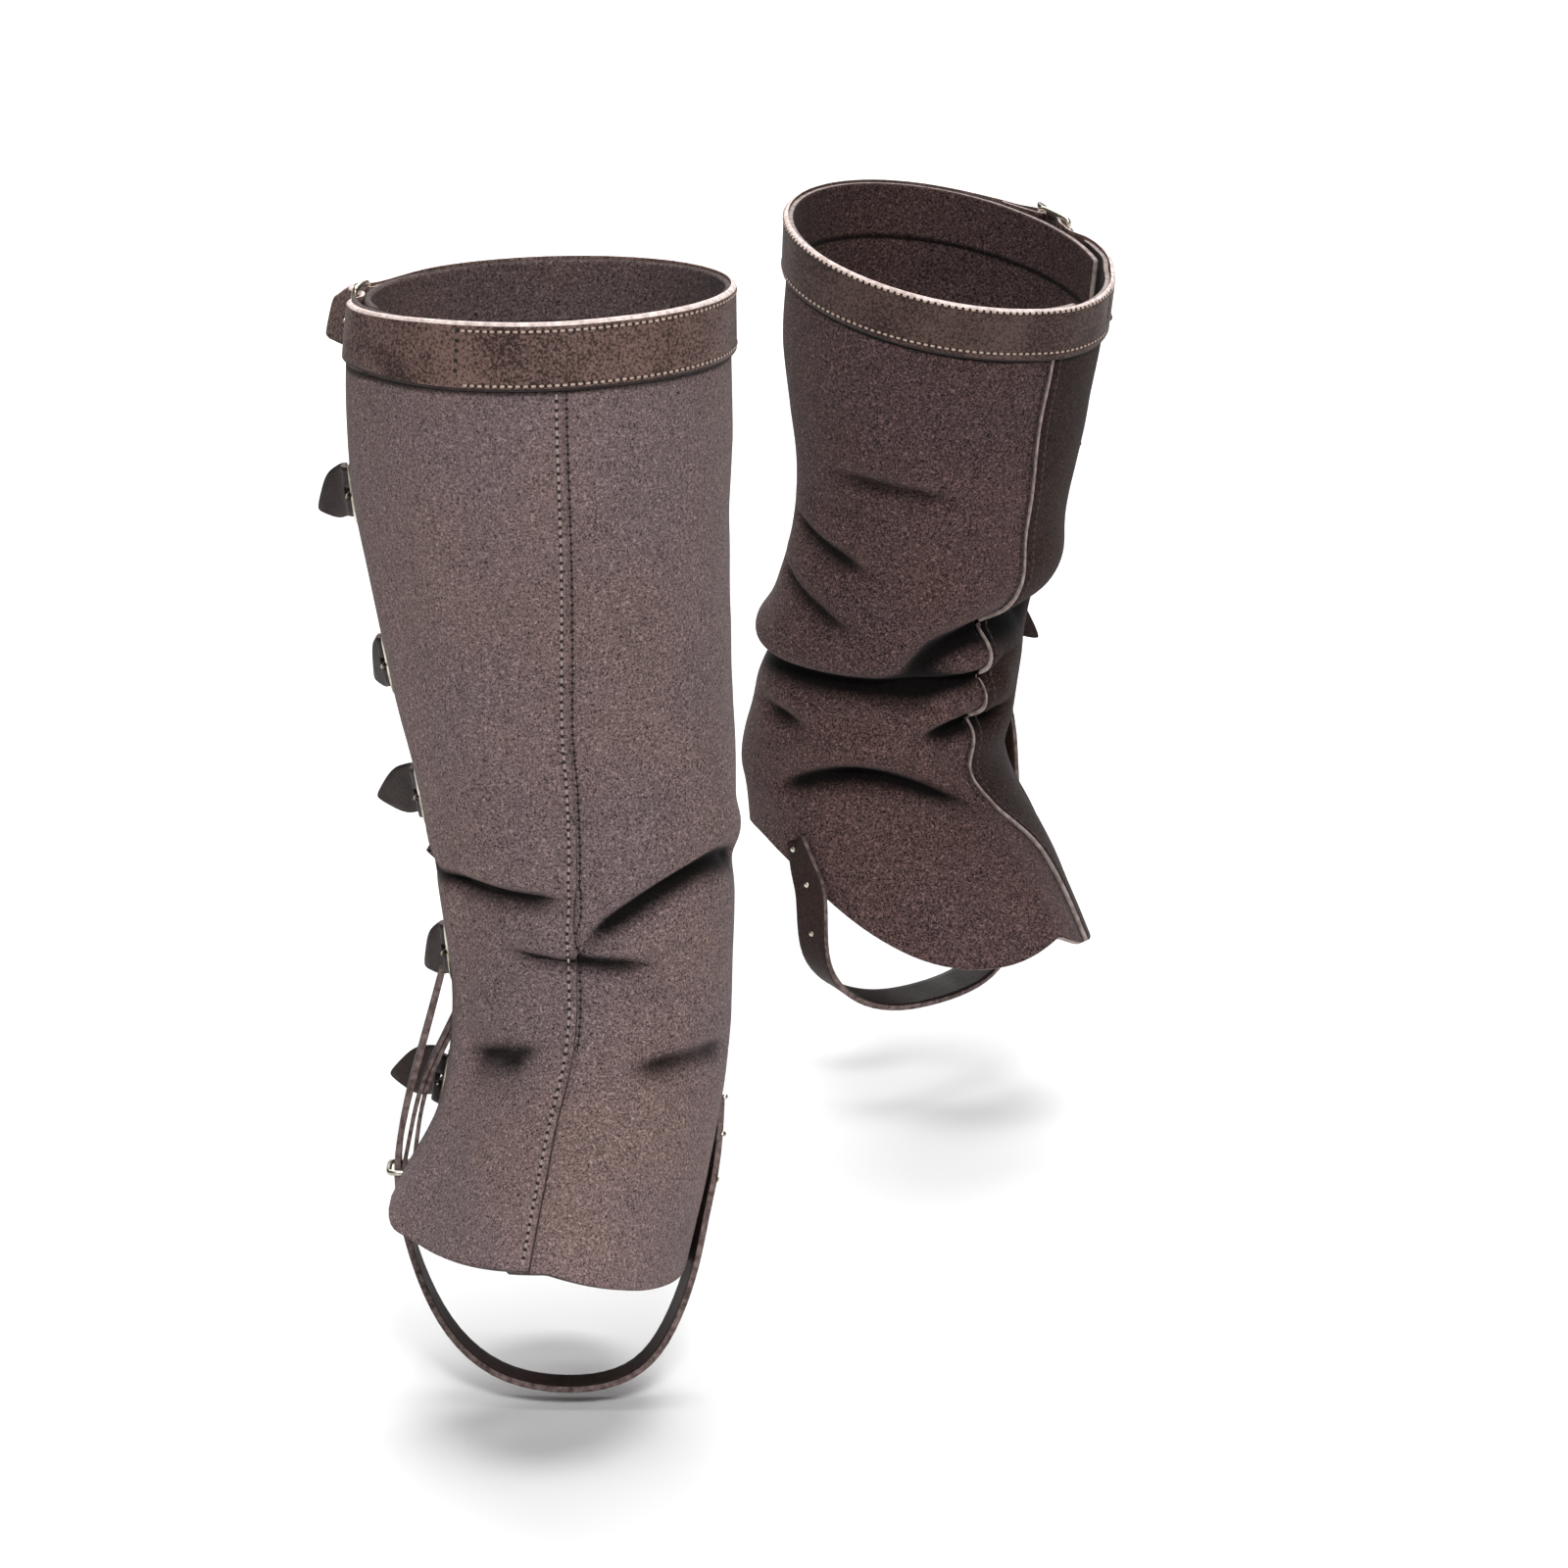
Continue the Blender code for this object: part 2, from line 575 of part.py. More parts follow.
def add_chape(name, gaiter, buckling):
    """The folded loop of leather that holds a buckle to the inner panel."""
    tail = HINGE_S + 0.0155
    profile, upper = fold_profile(CHAPE_THICK, tail)
    profile.append((tail, upper + 0.0001))
    places = [across_places(STRAP_WIDTH)] * len(profile)
    outer, inner = wall_rows(buckling, profile, places, CHAPE_THICK)
    return add_wall(name, STRAP_FINISH, gaiter, outer, inner, [(row, 1) for row in FOLD_SLOT_ROWS])


def add_frame(name, gaiter, buckling, strap_width):
    """The buckle's rectangular wire frame with rounded corners."""
    half = strap_width / 2 + BUCKLE_ROOM + WIRE / 2
    corner = 0.0026
    path = []
    centres = (
        (HINGE_S - corner, half - corner, 0.0), (FREE_BAR_S + corner, half - corner, 90.0),
        (FREE_BAR_S + corner, -half + corner, 180.0), (HINGE_S - corner, -half + corner, 270.0))
    for centre_s, centre_w, start in centres:
        for turn in (0.0, 45.0, 90.0):
            angle = math.radians(start + turn)
            s = centre_s + corner * math.cos(angle)
            w = centre_w + corner * math.sin(angle)
            share = (s - FREE_BAR_S) / (HINGE_S - FREE_BAR_S)
            path.append(buckling.straight(s, w, FREE_BAR_H + (HINGE_H - FREE_BAR_H) * share))
    return add_tube(name, METAL_FINISH, gaiter, path, WIRE / 2, 6, True)


def add_prong(name, gaiter, buckling):
    """The prong: hooked round the hinge bar, it rests on the free bar."""
    radius = WIRE / 2 + GAP + PRONG / 2
    path = [buckling.straight(FREE_BAR_S - 0.0022, 0.0, FREE_BAR_H + radius + 0.0001)]
    path.append(buckling.straight(FREE_BAR_S + 0.0040, 0.0, FREE_BAR_H + radius))
    for turn in (90.0, 45.0, 0.0, -55.0):
        angle = math.radians(turn)
        path.append(buckling.straight(
            HINGE_S + radius * math.cos(angle), 0.0, HINGE_H + radius * math.sin(angle)))
    return add_tube(name, METAL_FINISH, gaiter, path, PRONG / 2, 6, False)


def add_band(name, gaiter, buckling, outer_angles, inner_angles, tip_length, flare, droop):
    """The top band: folded round the top buckle's hinge bar at the rear, sewn on round the back, inner side
    and front, and free from a stitch line on the outer side to its pointed end."""
    full_width = BAND_WIDTH
    profile, upper = fold_profile(BAND_THICK, HINGE_S + 0.0140)
    places = [across_places(BAND_STRAP_WIDTH)] * len(profile)
    outer, inner = wall_rows(buckling, profile, places, BAND_THICK)
    holes = [(row, 1) for row in FOLD_SLOT_ROWS]

    start = buckling.angle_at(HINGE_S + 0.0125)
    finish = 360.0 + gaiter.closure - 4.0
    settle = 360.0 + gaiter.closure - 26.0
    stations = [start] + [angle for angle in inner_angles if start + 2.0 < angle < 360.0 + SEAM_EDGE]
    stations += [360.0 + angle for angle in outer_angles if 360.0 + angle < finish]
    for angle in stations:
        low = 2 * GAP + (BAND_THICK + GAP) * (1.0 - smooth((angle - start) / 9.0))
        low += (SUEDE + GAP) * smooth((angle - 348.0) / 8.0)
        low += (STRAP_THICK + STRAP_ROOM) * smooth((angle - settle) / 14.0)
        spread = smooth((angle - start) / 14.0)
        taper = smooth((angle - 393.0) / 40.0)
        width = BAND_STRAP_WIDTH + (full_width - BAND_STRAP_WIDTH) * spread * (1.0 - taper)
        outer_row = []
        inner_row = []
        for place in across_places(width):
            along = buckling.along - place / buckling.per_along
            inner_row.append(gaiter.over(angle, along, low))
            outer_row.append(gaiter.over(angle, along, low + BAND_THICK))
        outer.append(outer_row)
        inner.append(inner_row)

    step = GAP + SUEDE + 2 * GAP + STRAP_THICK + STRAP_ROOM + BAND_THICK / 2
    start_rows = ((0.0008 - BAND_SETBACK, step), )
    laid_at = len(outer)
    end_outer, end_inner, end_holes = strap_end(
        buckling, start_rows, BAND_STRAP_WIDTH, tip_length, flare, droop)
    outer += end_outer
    inner += end_inner
    holes += [(laid_at + row, column) for row, column in end_holes]
    return add_wall(name, BAND_FINISH, gaiter, outer, inner, holes)


def stirrup_path(gaiter, rows):
    """The middle of the strap under the foot, with the way across it and the way out of its face."""
    points = []
    for x, y, z, _, on_cloth in rows:
        if on_cloth:
            points.append(gaiter.inner_side_point(y, z, STIRRUP_THICK / 2 + STIRRUP_ROOM))
        else:
            points.append(Vector((x, y, z)))
    path = []
    last = len(points) - 1
    for index, point in enumerate(points):
        tangent = (points[min(index + 1, last)] - points[max(index - 1, 0)]).normalized()
        slope = math.radians(rows[index][3])
        across = Vector((0.0, -math.cos(slope), -math.sin(slope)))
        across = (across - tangent * across.dot(tangent)).normalized()
        path.append((point, across, tangent.cross(across)))
    return path


def add_stirrup_chape(gaiter, bar, across, route):
    """A strip folded round the loop's inner bar, its two plies sewn to the cloth above."""
    centres = [bar] + [Vector(point) for point in route]
    apart = CHAPE_THICK / 2 + GAP / 2
    plies = []
    for index in range(1, len(centres)):
        after = centres[min(index + 1, len(centres) - 1)]
        rise = (after - centres[index - 1]).normalized()
        face = rise.cross(across).normalized()
        if face.x < 0:
            face = -face
        plies.append((centres[index], face))
    rise = (centres[1] - bar).normalized()
    face = rise.cross(across).normalized()
    if face.x < 0:
        face = -face
    radius = WIRE / 2 + GAP + CHAPE_THICK / 2
    path = [(middle - out * apart, across, -out) for middle, out in reversed(plies)]
    throat = bar + rise * (radius + 0.0016)
    path.append((throat - face * (apart + 0.0006), across, -face))
    for turn in (-105.0, -145.0, 180.0, 145.0, 105.0):
        angle = math.radians(turn)
        out = rise * math.cos(angle) + face * math.sin(angle)
        path.append((bar + out * radius, across, out))
    path.append((throat + face * (apart + 0.0006), across, face))
    path += [(middle + out * apart, across, out) for middle, out in plies]
    widths = [(-STIRRUP_CHAPE_WIDTH / 2, STIRRUP_CHAPE_WIDTH / 2)] * len(path)
    add_ribbon(f"{gaiter.name}_stirrup_chape", STRAP_FINISH, gaiter, path, widths, CHAPE_THICK)


def add_stirrup(gaiter, rows, ring_row, chape_route):
    """The strap under the foot, the small loop that it passes through, and that loop's chape."""
    path = stirrup_path(gaiter, rows)
    half = STIRRUP_WIDTH / 2
    shares = [1.0] * len(path)
    shares[0], shares[1], shares[-1] = 0.55, 0.92, 0.5
    widths = [(-half * share, 0.0, half * share) for share in shares]
    add_ribbon(f"{gaiter.name}_stirrup_strap", STRAP_FINISH, gaiter, path, widths, STIRRUP_THICK)

    centre, across, out = path[ring_row]
    outside = out if out.x > 0 else -out
    wire = WIRE / 2
    outer_reach = STIRRUP_THICK / 2 + GAP + wire
    inner_reach = STIRRUP_THICK / 2 + GAP + CHAPE_THICK + 2 * GAP + wire
    half_long = half + BUCKLE_ROOM + wire
    corner = 0.0022
    ring = []
    corners = (
        (outer_reach - corner, half_long - corner, 0.0), (corner - inner_reach, half_long - corner, 90.0),
        (corner - inner_reach, corner - half_long, 180.0), (outer_reach - corner, corner - half_long, 270.0))
    for centre_out, centre_across, start in corners:
        for turn in (0.0, 45.0, 90.0):
            angle = math.radians(start + turn)
            ring.append(centre + outside * (centre_out + corner * math.cos(angle))
                        + across * (centre_across + corner * math.sin(angle)))
    add_tube(f"{gaiter.name}_stirrup_ring", METAL_FINISH, gaiter, ring, wire, 6, True)
    add_stirrup_chape(gaiter, centre - outside * inner_reach, across, chape_route)


def add_gaiter(gaiter, straps, band_end, stirrup, ring_row, chape_route, rows):
    """Cuts and joins every piece of one gaiter."""
    outer_angles = [SEAM_EDGE] + spaced(SEAM_LAP, gaiter.closure - TUCK, 6) + [
        gaiter.closure - TUCK / 2, gaiter.closure]
    inner_angles = [gaiter.closure - TUCK, gaiter.closure - TUCK / 2]
    inner_angles += spaced(gaiter.closure, 360.0 + SEAM_EDGE, 22) + [360.0 + SEAM_LAP]
    alongs = rows

    def inner_lift(angle, along):
        return -SUEDE

    def inner_hem(angle):
        return 1.0

    add_panel(f"{gaiter.name}_outer_panel", gaiter, outer_angles, alongs, PANEL_TOP,
              gaiter.outer_hem, gaiter.outer_lift)
    add_panel(f"{gaiter.name}_inner_panel", gaiter, inner_angles, alongs, PANEL_TOP,
              inner_hem, inner_lift)

    top = Buckling(gaiter, band_end[0], BAND_SETBACK)
    add_band(f"{gaiter.name}_top_band", gaiter, top, outer_angles, inner_angles, *band_end[1:])
    add_frame(f"{gaiter.name}_buckle_1", gaiter, top, BAND_STRAP_WIDTH)
    add_prong(f"{gaiter.name}_prong_1", gaiter, top)
    for number, (height, tip_length, flare, droop, setback) in enumerate(straps, start=2):
        closure = Buckling(gaiter, height, setback)
        add_strap(f"{gaiter.name}_strap_{number}", gaiter, closure, tip_length, flare, droop)
        add_chape(f"{gaiter.name}_chape_{number}", gaiter, closure)
        add_frame(f"{gaiter.name}_buckle_{number}", gaiter, closure, STRAP_WIDTH)
        add_prong(f"{gaiter.name}_prong_{number}", gaiter, closure)
    add_stirrup(gaiter, stirrup, ring_row, chape_route)


NEAR_PLACE = Matrix.Identity(4)
FAR_PLACE = Matrix.Translation((0.117, 0.390, 0.0)) @ Matrix.Rotation(math.radians(48.0), 4, "Z")

NEAR_ROWS = (0.0, 0.07, 0.14, 0.21, 0.28, 0.35, 0.42, 0.48, 0.53, 0.57, 0.60, 0.625, 0.65, 0.675, 0.70,
             0.73, 0.76, 0.79, 0.82, 0.855, 0.89, 0.925, 0.96, 1.0)
FAR_ROWS = (0.0, 0.08, 0.16, 0.22, 0.27, 0.31, 0.35, 0.39, 0.43, 0.465, 0.495, 0.52, 0.545, 0.57, 0.595,
            0.62, 0.645, 0.67, 0.695, 0.72, 0.745, 0.775, 0.81, 0.85, 0.90, 0.95, 1.0)

near = Gaiter("near", -1.0, NEAR_PLACE, NEAR_SECTIONS, NEAR_FOLDS, closure=86.0, flare=0.010,
              corner=0.050)
far = Gaiter("far", 1.0, FAR_PLACE, FAR_SECTIONS, FAR_FOLDS, closure=74.0, flare=0.003, corner=0.050)

add_gaiter(near, NEAR_STRAPS, NEAR_BAND_END, NEAR_STIRRUP, NEAR_RING_ROW, NEAR_CHAPE, NEAR_ROWS)
add_gaiter(far, FAR_STRAPS, FAR_BAND_END, FAR_STIRRUP, FAR_RING_ROW, FAR_CHAPE, FAR_ROWS)
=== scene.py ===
import math

import bmesh
import bpy
from mathutils import Matrix, Vector, noise
from mathutils.bvhtree import BVHTree


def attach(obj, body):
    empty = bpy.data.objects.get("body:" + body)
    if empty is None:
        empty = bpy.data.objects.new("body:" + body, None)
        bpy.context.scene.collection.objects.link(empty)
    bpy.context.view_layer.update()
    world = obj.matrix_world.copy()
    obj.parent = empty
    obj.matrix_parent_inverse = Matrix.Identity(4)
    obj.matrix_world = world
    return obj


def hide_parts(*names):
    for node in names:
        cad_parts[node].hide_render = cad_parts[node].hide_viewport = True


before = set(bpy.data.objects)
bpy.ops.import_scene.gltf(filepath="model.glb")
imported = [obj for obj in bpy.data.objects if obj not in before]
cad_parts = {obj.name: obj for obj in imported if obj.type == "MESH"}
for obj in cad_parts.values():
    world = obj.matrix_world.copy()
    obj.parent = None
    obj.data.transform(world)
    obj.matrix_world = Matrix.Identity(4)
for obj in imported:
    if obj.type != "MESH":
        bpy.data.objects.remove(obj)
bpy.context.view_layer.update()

# Stage: a pale floor just under the stirrup straps, soft light from large panels in front, above and
# behind, and a camera a little over three metres away that looks down at the pair.
FLOOR_HEIGHT = -0.4255

camera_data = bpy.data.cameras.new("view")
camera_data.lens = 201.15
camera_data.sensor_width = 36.0
camera_data.clip_end = 50.0
camera = bpy.data.objects.new("view", camera_data)
camera.location = (0.0893, -3.21, 0.6745)
camera.rotation_euler = (math.radians(74.9), 0.0, 0.0)
bpy.context.scene.collection.objects.link(camera)
bpy.context.scene.camera = camera

sky = bpy.data.worlds.new("studio")
sky.use_nodes = True
sky.node_tree.nodes["Background"].inputs["Color"].default_value = (1.0, 1.0, 1.0, 1.0)
sky.node_tree.nodes["Background"].inputs["Strength"].default_value = 0.12
bpy.context.scene.world = sky
bpy.context.scene.view_settings.view_transform = "Standard"


def light_panel(name, place, aim, size, watts):
    panel = bpy.data.lights.new(name, "AREA")
    panel.shape = "DISK"
    panel.size = size
    panel.energy = watts
    holder = bpy.data.objects.new(name, panel)
    holder.location = place
    holder.rotation_euler = (Vector(aim) - Vector(place)).to_track_quat("-Z", "Y").to_euler()
    bpy.context.scene.collection.objects.link(holder)


light_panel("key_panel", (0.35, -3.0, 1.9), (0.05, 0.1, -0.2), 0.8, 78.0)
light_panel("top_panel", (0.2, 0.3, 2.6), (0.1, 0.3, -0.4), 2.6, 72.0)
light_panel("rear_panel", (0.0, 5.6, 3.4), (0.0, 5.6, -0.4), 5.0, 500.0)

floor_shape = bmesh.new()
bmesh.ops.create_grid(floor_shape, x_segments=1, y_segments=1, size=9.0)
bmesh.ops.translate(floor_shape, vec=(0.0, 3.0, FLOOR_HEIGHT), verts=floor_shape.verts)
floor_mesh = bpy.data.meshes.new("studio_floor")
floor_shape.to_mesh(floor_mesh)
floor_shape.free()
floor = bpy.data.objects.new("studio_floor", floor_mesh)
bpy.context.scene.collection.objects.link(floor)
floor_paint = bpy.data.materials.new("pale_floor")
floor_paint.use_nodes = True
floor_paint.node_tree.nodes["Principled BSDF"].inputs["Base Color"].default_value = (0.93, 0.93, 0.93, 1.0)
floor_paint.node_tree.nodes["Principled BSDF"].inputs["Roughness"].default_value = 0.9
floor_mesh.materials.append(floor_paint)


# Suede panels: each gaiter is cut from two pieces of soft suede about 2 mm thick. The outer piece laps over
# the inner one at the front seam, and its other long edge covers the roots of the straps. Both hang in the
# creases that wear gives them.
GAP = 0.0003
SUEDE = 0.0020
BAND_WIDTH = 0.0255
STRAP_THICK = 0.0020
STRAP_ROOM = 0.0008
SEAM_EDGE = -1.5
SEAM_LAP = 9.0
TUCK = 17.0
PANEL_TOP = 0.004
PANEL_LENGTH = 0.38
DEGREE_WIDTH = 0.00108
COLUMN_CELL = 0.0028
ROW_CELL = 0.0015
SLOWEST_END = 2.1
DEGREES_PER_END = 26.0
PRESS = 1.1
ROLL_ABOVE = 1.9
SAG_ABOVE = 1.2
SAG_SHARE = 0.7
LONG_RIPPLE = (0.0011, 19.0)
SHORT_RIPPLE = (0.00045, 52.0)
# Painted shadow in a line right under the band: how dark it is, how far below the band's edge, and how wide.
SHADOW_DEPTH = 0.0048
SHADOW_DROP = 0.0004
SHADOW_WIDTH = 0.0013
TOP_MIDDLE = Vector((-0.016, 0.010, 0.4255))

# The worn form, row by row: the place along, the heights at the front and back, how far the outer side and
# both sides drop, the middle and half the width across, the front and back in y, and the seam's turn
NEAR_SECTIONS = (
    (0.00, 0.428, 0.424, -0.002, 0.000, 0.0148, 0.0683, -0.058, 0.079, -5.2),
    (0.08, 0.402, 0.398, -0.002, 0.000, 0.0160, 0.0697, -0.060, 0.080, -5.4),
    (0.16, 0.373, 0.369, 0.000, 0.000, 0.0158, 0.0697, -0.061, 0.080, -5.6),
    (0.23, 0.348, 0.344, 0.000, 0.000, 0.0150, 0.0685, -0.060, 0.078, -5.6),
    (0.31, 0.320, 0.316, 0.000, 0.000, 0.0125, 0.0657, -0.058, 0.074, -4.0),
    (0.38, 0.295, 0.291, 0.000, 0.000, 0.0101, 0.0631, -0.056, 0.069, -1.9),
    (0.45, 0.270, 0.266, 0.000, 0.000, 0.0070, 0.0610, -0.053, 0.064, 0.8),
    (0.52, 0.246, 0.242, 0.000, 0.000, 0.0033, 0.0586, -0.051, 0.059, 2.8),
    (0.60, 0.217, 0.212, 0.000, 0.000, 0.0003, 0.0557, -0.049, 0.055, 5.4),
    (0.68, 0.188, 0.182, 0.000, 0.000, -0.0016, 0.0528, -0.049, 0.052, 8.6),
    (0.75, 0.164, 0.155, 0.000, 0.000, -0.0028, 0.0508, -0.052, 0.051, 9.2),
    (0.81, 0.143, 0.131, 0.001, 0.001, -0.0016, 0.0502, -0.058, 0.051, 10.5),
    (0.87, 0.122, 0.105, 0.003, 0.002, 0.0016, 0.0502, -0.070, 0.053, 13.0),
    (0.93, 0.102, 0.078, 0.005, 0.003, 0.0066, 0.0505, -0.085, 0.056, 12.0),
    (1.00, 0.077, 0.045, 0.008, 0.0045, 0.0150, 0.0503, -0.106, 0.060, 8.5),
)
FAR_SECTIONS = (
    (0.00, 0.352, 0.385, 0.000, 0.000, 0.004, 0.0650, -0.0950, 0.038, -4.0),
    (0.09, 0.326, 0.357, 0.000, 0.000, 0.004, 0.0648, -0.0905, 0.039, -4.0),
    (0.18, 0.302, 0.328, 0.000, 0.000, 0.004, 0.0632, -0.0845, 0.040, -4.0),
    (0.27, 0.279, 0.301, 0.000, 0.000, 0.004, 0.0592, -0.0800, 0.038, -3.0),
    (0.36, 0.253, 0.272, 0.000, 0.000, 0.004, 0.0550, -0.0740, 0.036, -2.0),
    (0.44, 0.229, 0.245, 0.000, 0.000, 0.003, 0.0533, -0.0660, 0.039, -1.0),
    (0.52, 0.204, 0.217, 0.000, 0.000, 0.003, 0.0540, -0.0560, 0.049, 0.0),
    (0.59, 0.183, 0.194, 0.000, 0.000, 0.003, 0.0545, -0.0510, 0.055, 0.0),
    (0.66, 0.163, 0.172, 0.000, 0.000, 0.003, 0.0535, -0.0480, 0.060, 0.0),
    (0.73, 0.145, 0.153, 0.000, 0.000, 0.003, 0.0540, -0.0435, 0.066, 0.0),
    (0.80, 0.130, 0.140, 0.000, 0.002, 0.003, 0.0550, -0.0510, 0.068, 7.0),
    (0.87, 0.114, 0.129, 0.000, 0.005, 0.003, 0.0560, -0.0690, 0.067, 20.0),
    (0.93, 0.099, 0.119, 0.000, 0.009, 0.003, 0.0570, -0.0820, 0.066, 25.0),
    (1.00, 0.0816, 0.108, 0.000, 0.0135, 0.003, 0.0580, -0.0940, 0.065, 25.0),
)

# Deep folds, from an angle and height to an angle and height. Then come how far each bends at its middle,
# how deep it is pressed in, how far it reaches above and below, and how far the suede over it rolls out.
NEAR_FOLDS = (
    (104.0, 0.2085, -6.0, 0.205, -0.001, 0.0056, 0.0064, 0.0022),
    (8.0, 0.178, -106.0, 0.203, 0.021, 0.0062, 0.0072, 0.0024),
    (42.0, 0.184, -44.0, 0.1775, 0.000, 0.0042, 0.0048, 0.0012),
    (74.0, 0.138, 2.0, 0.148, 0.000, 0.0048, 0.0100, 0.0014),
    (-14.0, 0.140, -92.0, 0.137, 0.002, 0.0040, 0.0080, 0.0012),
    (-114.0, 0.206, -188.0, 0.197, 0.004, 0.0040, 0.0080, 0.0014),
    (-120.0, 0.165, -230.0, 0.170, 0.000, 0.0030, 0.0080, 0.0012),
    (-150.0, 0.285, -215.0, 0.270, 0.000, 0.0020, 0.0100, 0.0006),
)
FAR_FOLDS = (
    (-104.0, 0.280, -28.0, 0.269, 0.001, 0.0034, 0.0060, 0.0012),
    (-140.0, 0.256, -64.0, 0.234, 0.001, 0.0037, 0.0054, 0.0014),
    (-144.0, 0.233, -62.0, 0.206, 0.002, 0.0038, 0.0056, 0.0016),
    (-170.0, 0.194, 14.0, 0.188, -0.002, 0.0085, 0.0070, 0.0050),
    (-58.0, 0.193, 62.0, 0.213, 0.009, 0.0110, 0.0122, 0.0050),
    (-38.0, 0.161, 30.0, 0.171, 0.003, 0.0085, 0.0070, 0.0040),
    (-104.0, 0.134, 0.0, 0.126, 0.018, 0.0062, 0.0062, 0.0034),
    (-128.0, 0.173, -76.0, 0.164, 0.000, 0.0045, 0.0060, 0.0018),
    (-165.0, 0.160, -250.0, 0.166, 0.000, 0.0050, 0.0080, 0.0020),
    (-185.0, 0.232, -250.0, 0.222, 0.000, 0.0040, 0.0090, 0.0016),
)

# Lighter creases in the same columns, too shallow for the solid form.
NEAR_CREASES = (
    (74.0, 0.212, 20.0, 0.206, 0.001, 0.0010, 0.0032, 0.0006),
    (56.0, 0.168, 36.0, 0.156, 0.001, 0.0016, 0.0026, 0.0006),
    (44.0, 0.136, 16.0, 0.140, 0.001, 0.0010, 0.0032, 0.0006),
    (-24.0, 0.204, -88.0, 0.222, 0.004, 0.0012, 0.0042, 0.0008),
    (-30.0, 0.128, -84.0, 0.118, 0.003, 0.0012, 0.0050, 0.0008),
    (-8.0, 0.172, -70.0, 0.164, -0.002, 0.0009, 0.0040, 0.0006),
    (-135.0, 0.248, -205.0, 0.238, 0.002, 0.0014, 0.0060, 0.0010),
    (-160.0, 0.330, -220.0, 0.322, -0.002, 0.0010, 0.0070, 0.0006),
)
FAR_CREASES = (
    (-100.0, 0.263, -58.0, 0.258, 0.001, 0.0010, 0.0040, 0.0006),
    (-96.0, 0.214, -34.0, 0.200, 0.002, 0.0012, 0.0040, 0.0008),
    (-70.0, 0.182, -10.0, 0.178, -0.002, 0.0014, 0.0040, 0.0010),
    (-30.0, 0.184, 34.0, 0.196, 0.002, 0.0014, 0.0040, 0.0010),
    (-84.0, 0.150, -36.0, 0.146, 0.003, 0.0012, 0.0042, 0.0008),
    (-60.0, 0.120, -14.0, 0.118, 0.003, 0.0010, 0.0050, 0.0006),
    (-150.0, 0.212, -205.0, 0.204, 0.000, 0.0016, 0.0060, 0.0010),
    (-160.0, 0.184, -220.0, 0.190, 0.000, 0.0016, 0.0060, 0.0010),
    (-140.0, 0.300, -200.0, 0.290, 0.000, 0.0010, 0.0080, 0.0008),
)


def clamp(value, low=0.0, high=1.0):
    return max(low, min(high, value))


def smooth(value):
    value = clamp(value)
    return value * value * (3 - 2 * value)


def read_row(rows, place):
    """The row of a table at a place in its first column, on smooth curves through the table's rows."""
    last = len(rows) - 2
    index = max([i for i in range(last + 1) if rows[i][0] <= place], default=0)
    low, high = rows[index], rows[index + 1]
    before, after = rows[max(index - 1, 0)], rows[min(index + 2, last + 1)]
    span = high[0] - low[0]
    t = (place - low[0]) / span
    found = []
    for column in range(1, len(low)):
        slope_in = (high[column] - before[column]) / (high[0] - before[0]) * span
        slope_out = (after[column] - low[column]) / (after[0] - low[0]) * span
        found.append(
            (2 * t**3 - 3 * t**2 + 1) * low[column]
            + (t**3 - 2 * t**2 + t) * slope_in
            + (-2 * t**3 + 3 * t**2) * high[column]
            + (t**3 - t**2) * slope_out)
    return found


def turned(angle, start):
    """The angle moved by whole turns to lie within half a turn of start."""
    return start + (angle - start + 180.0) % 360.0 - 180.0


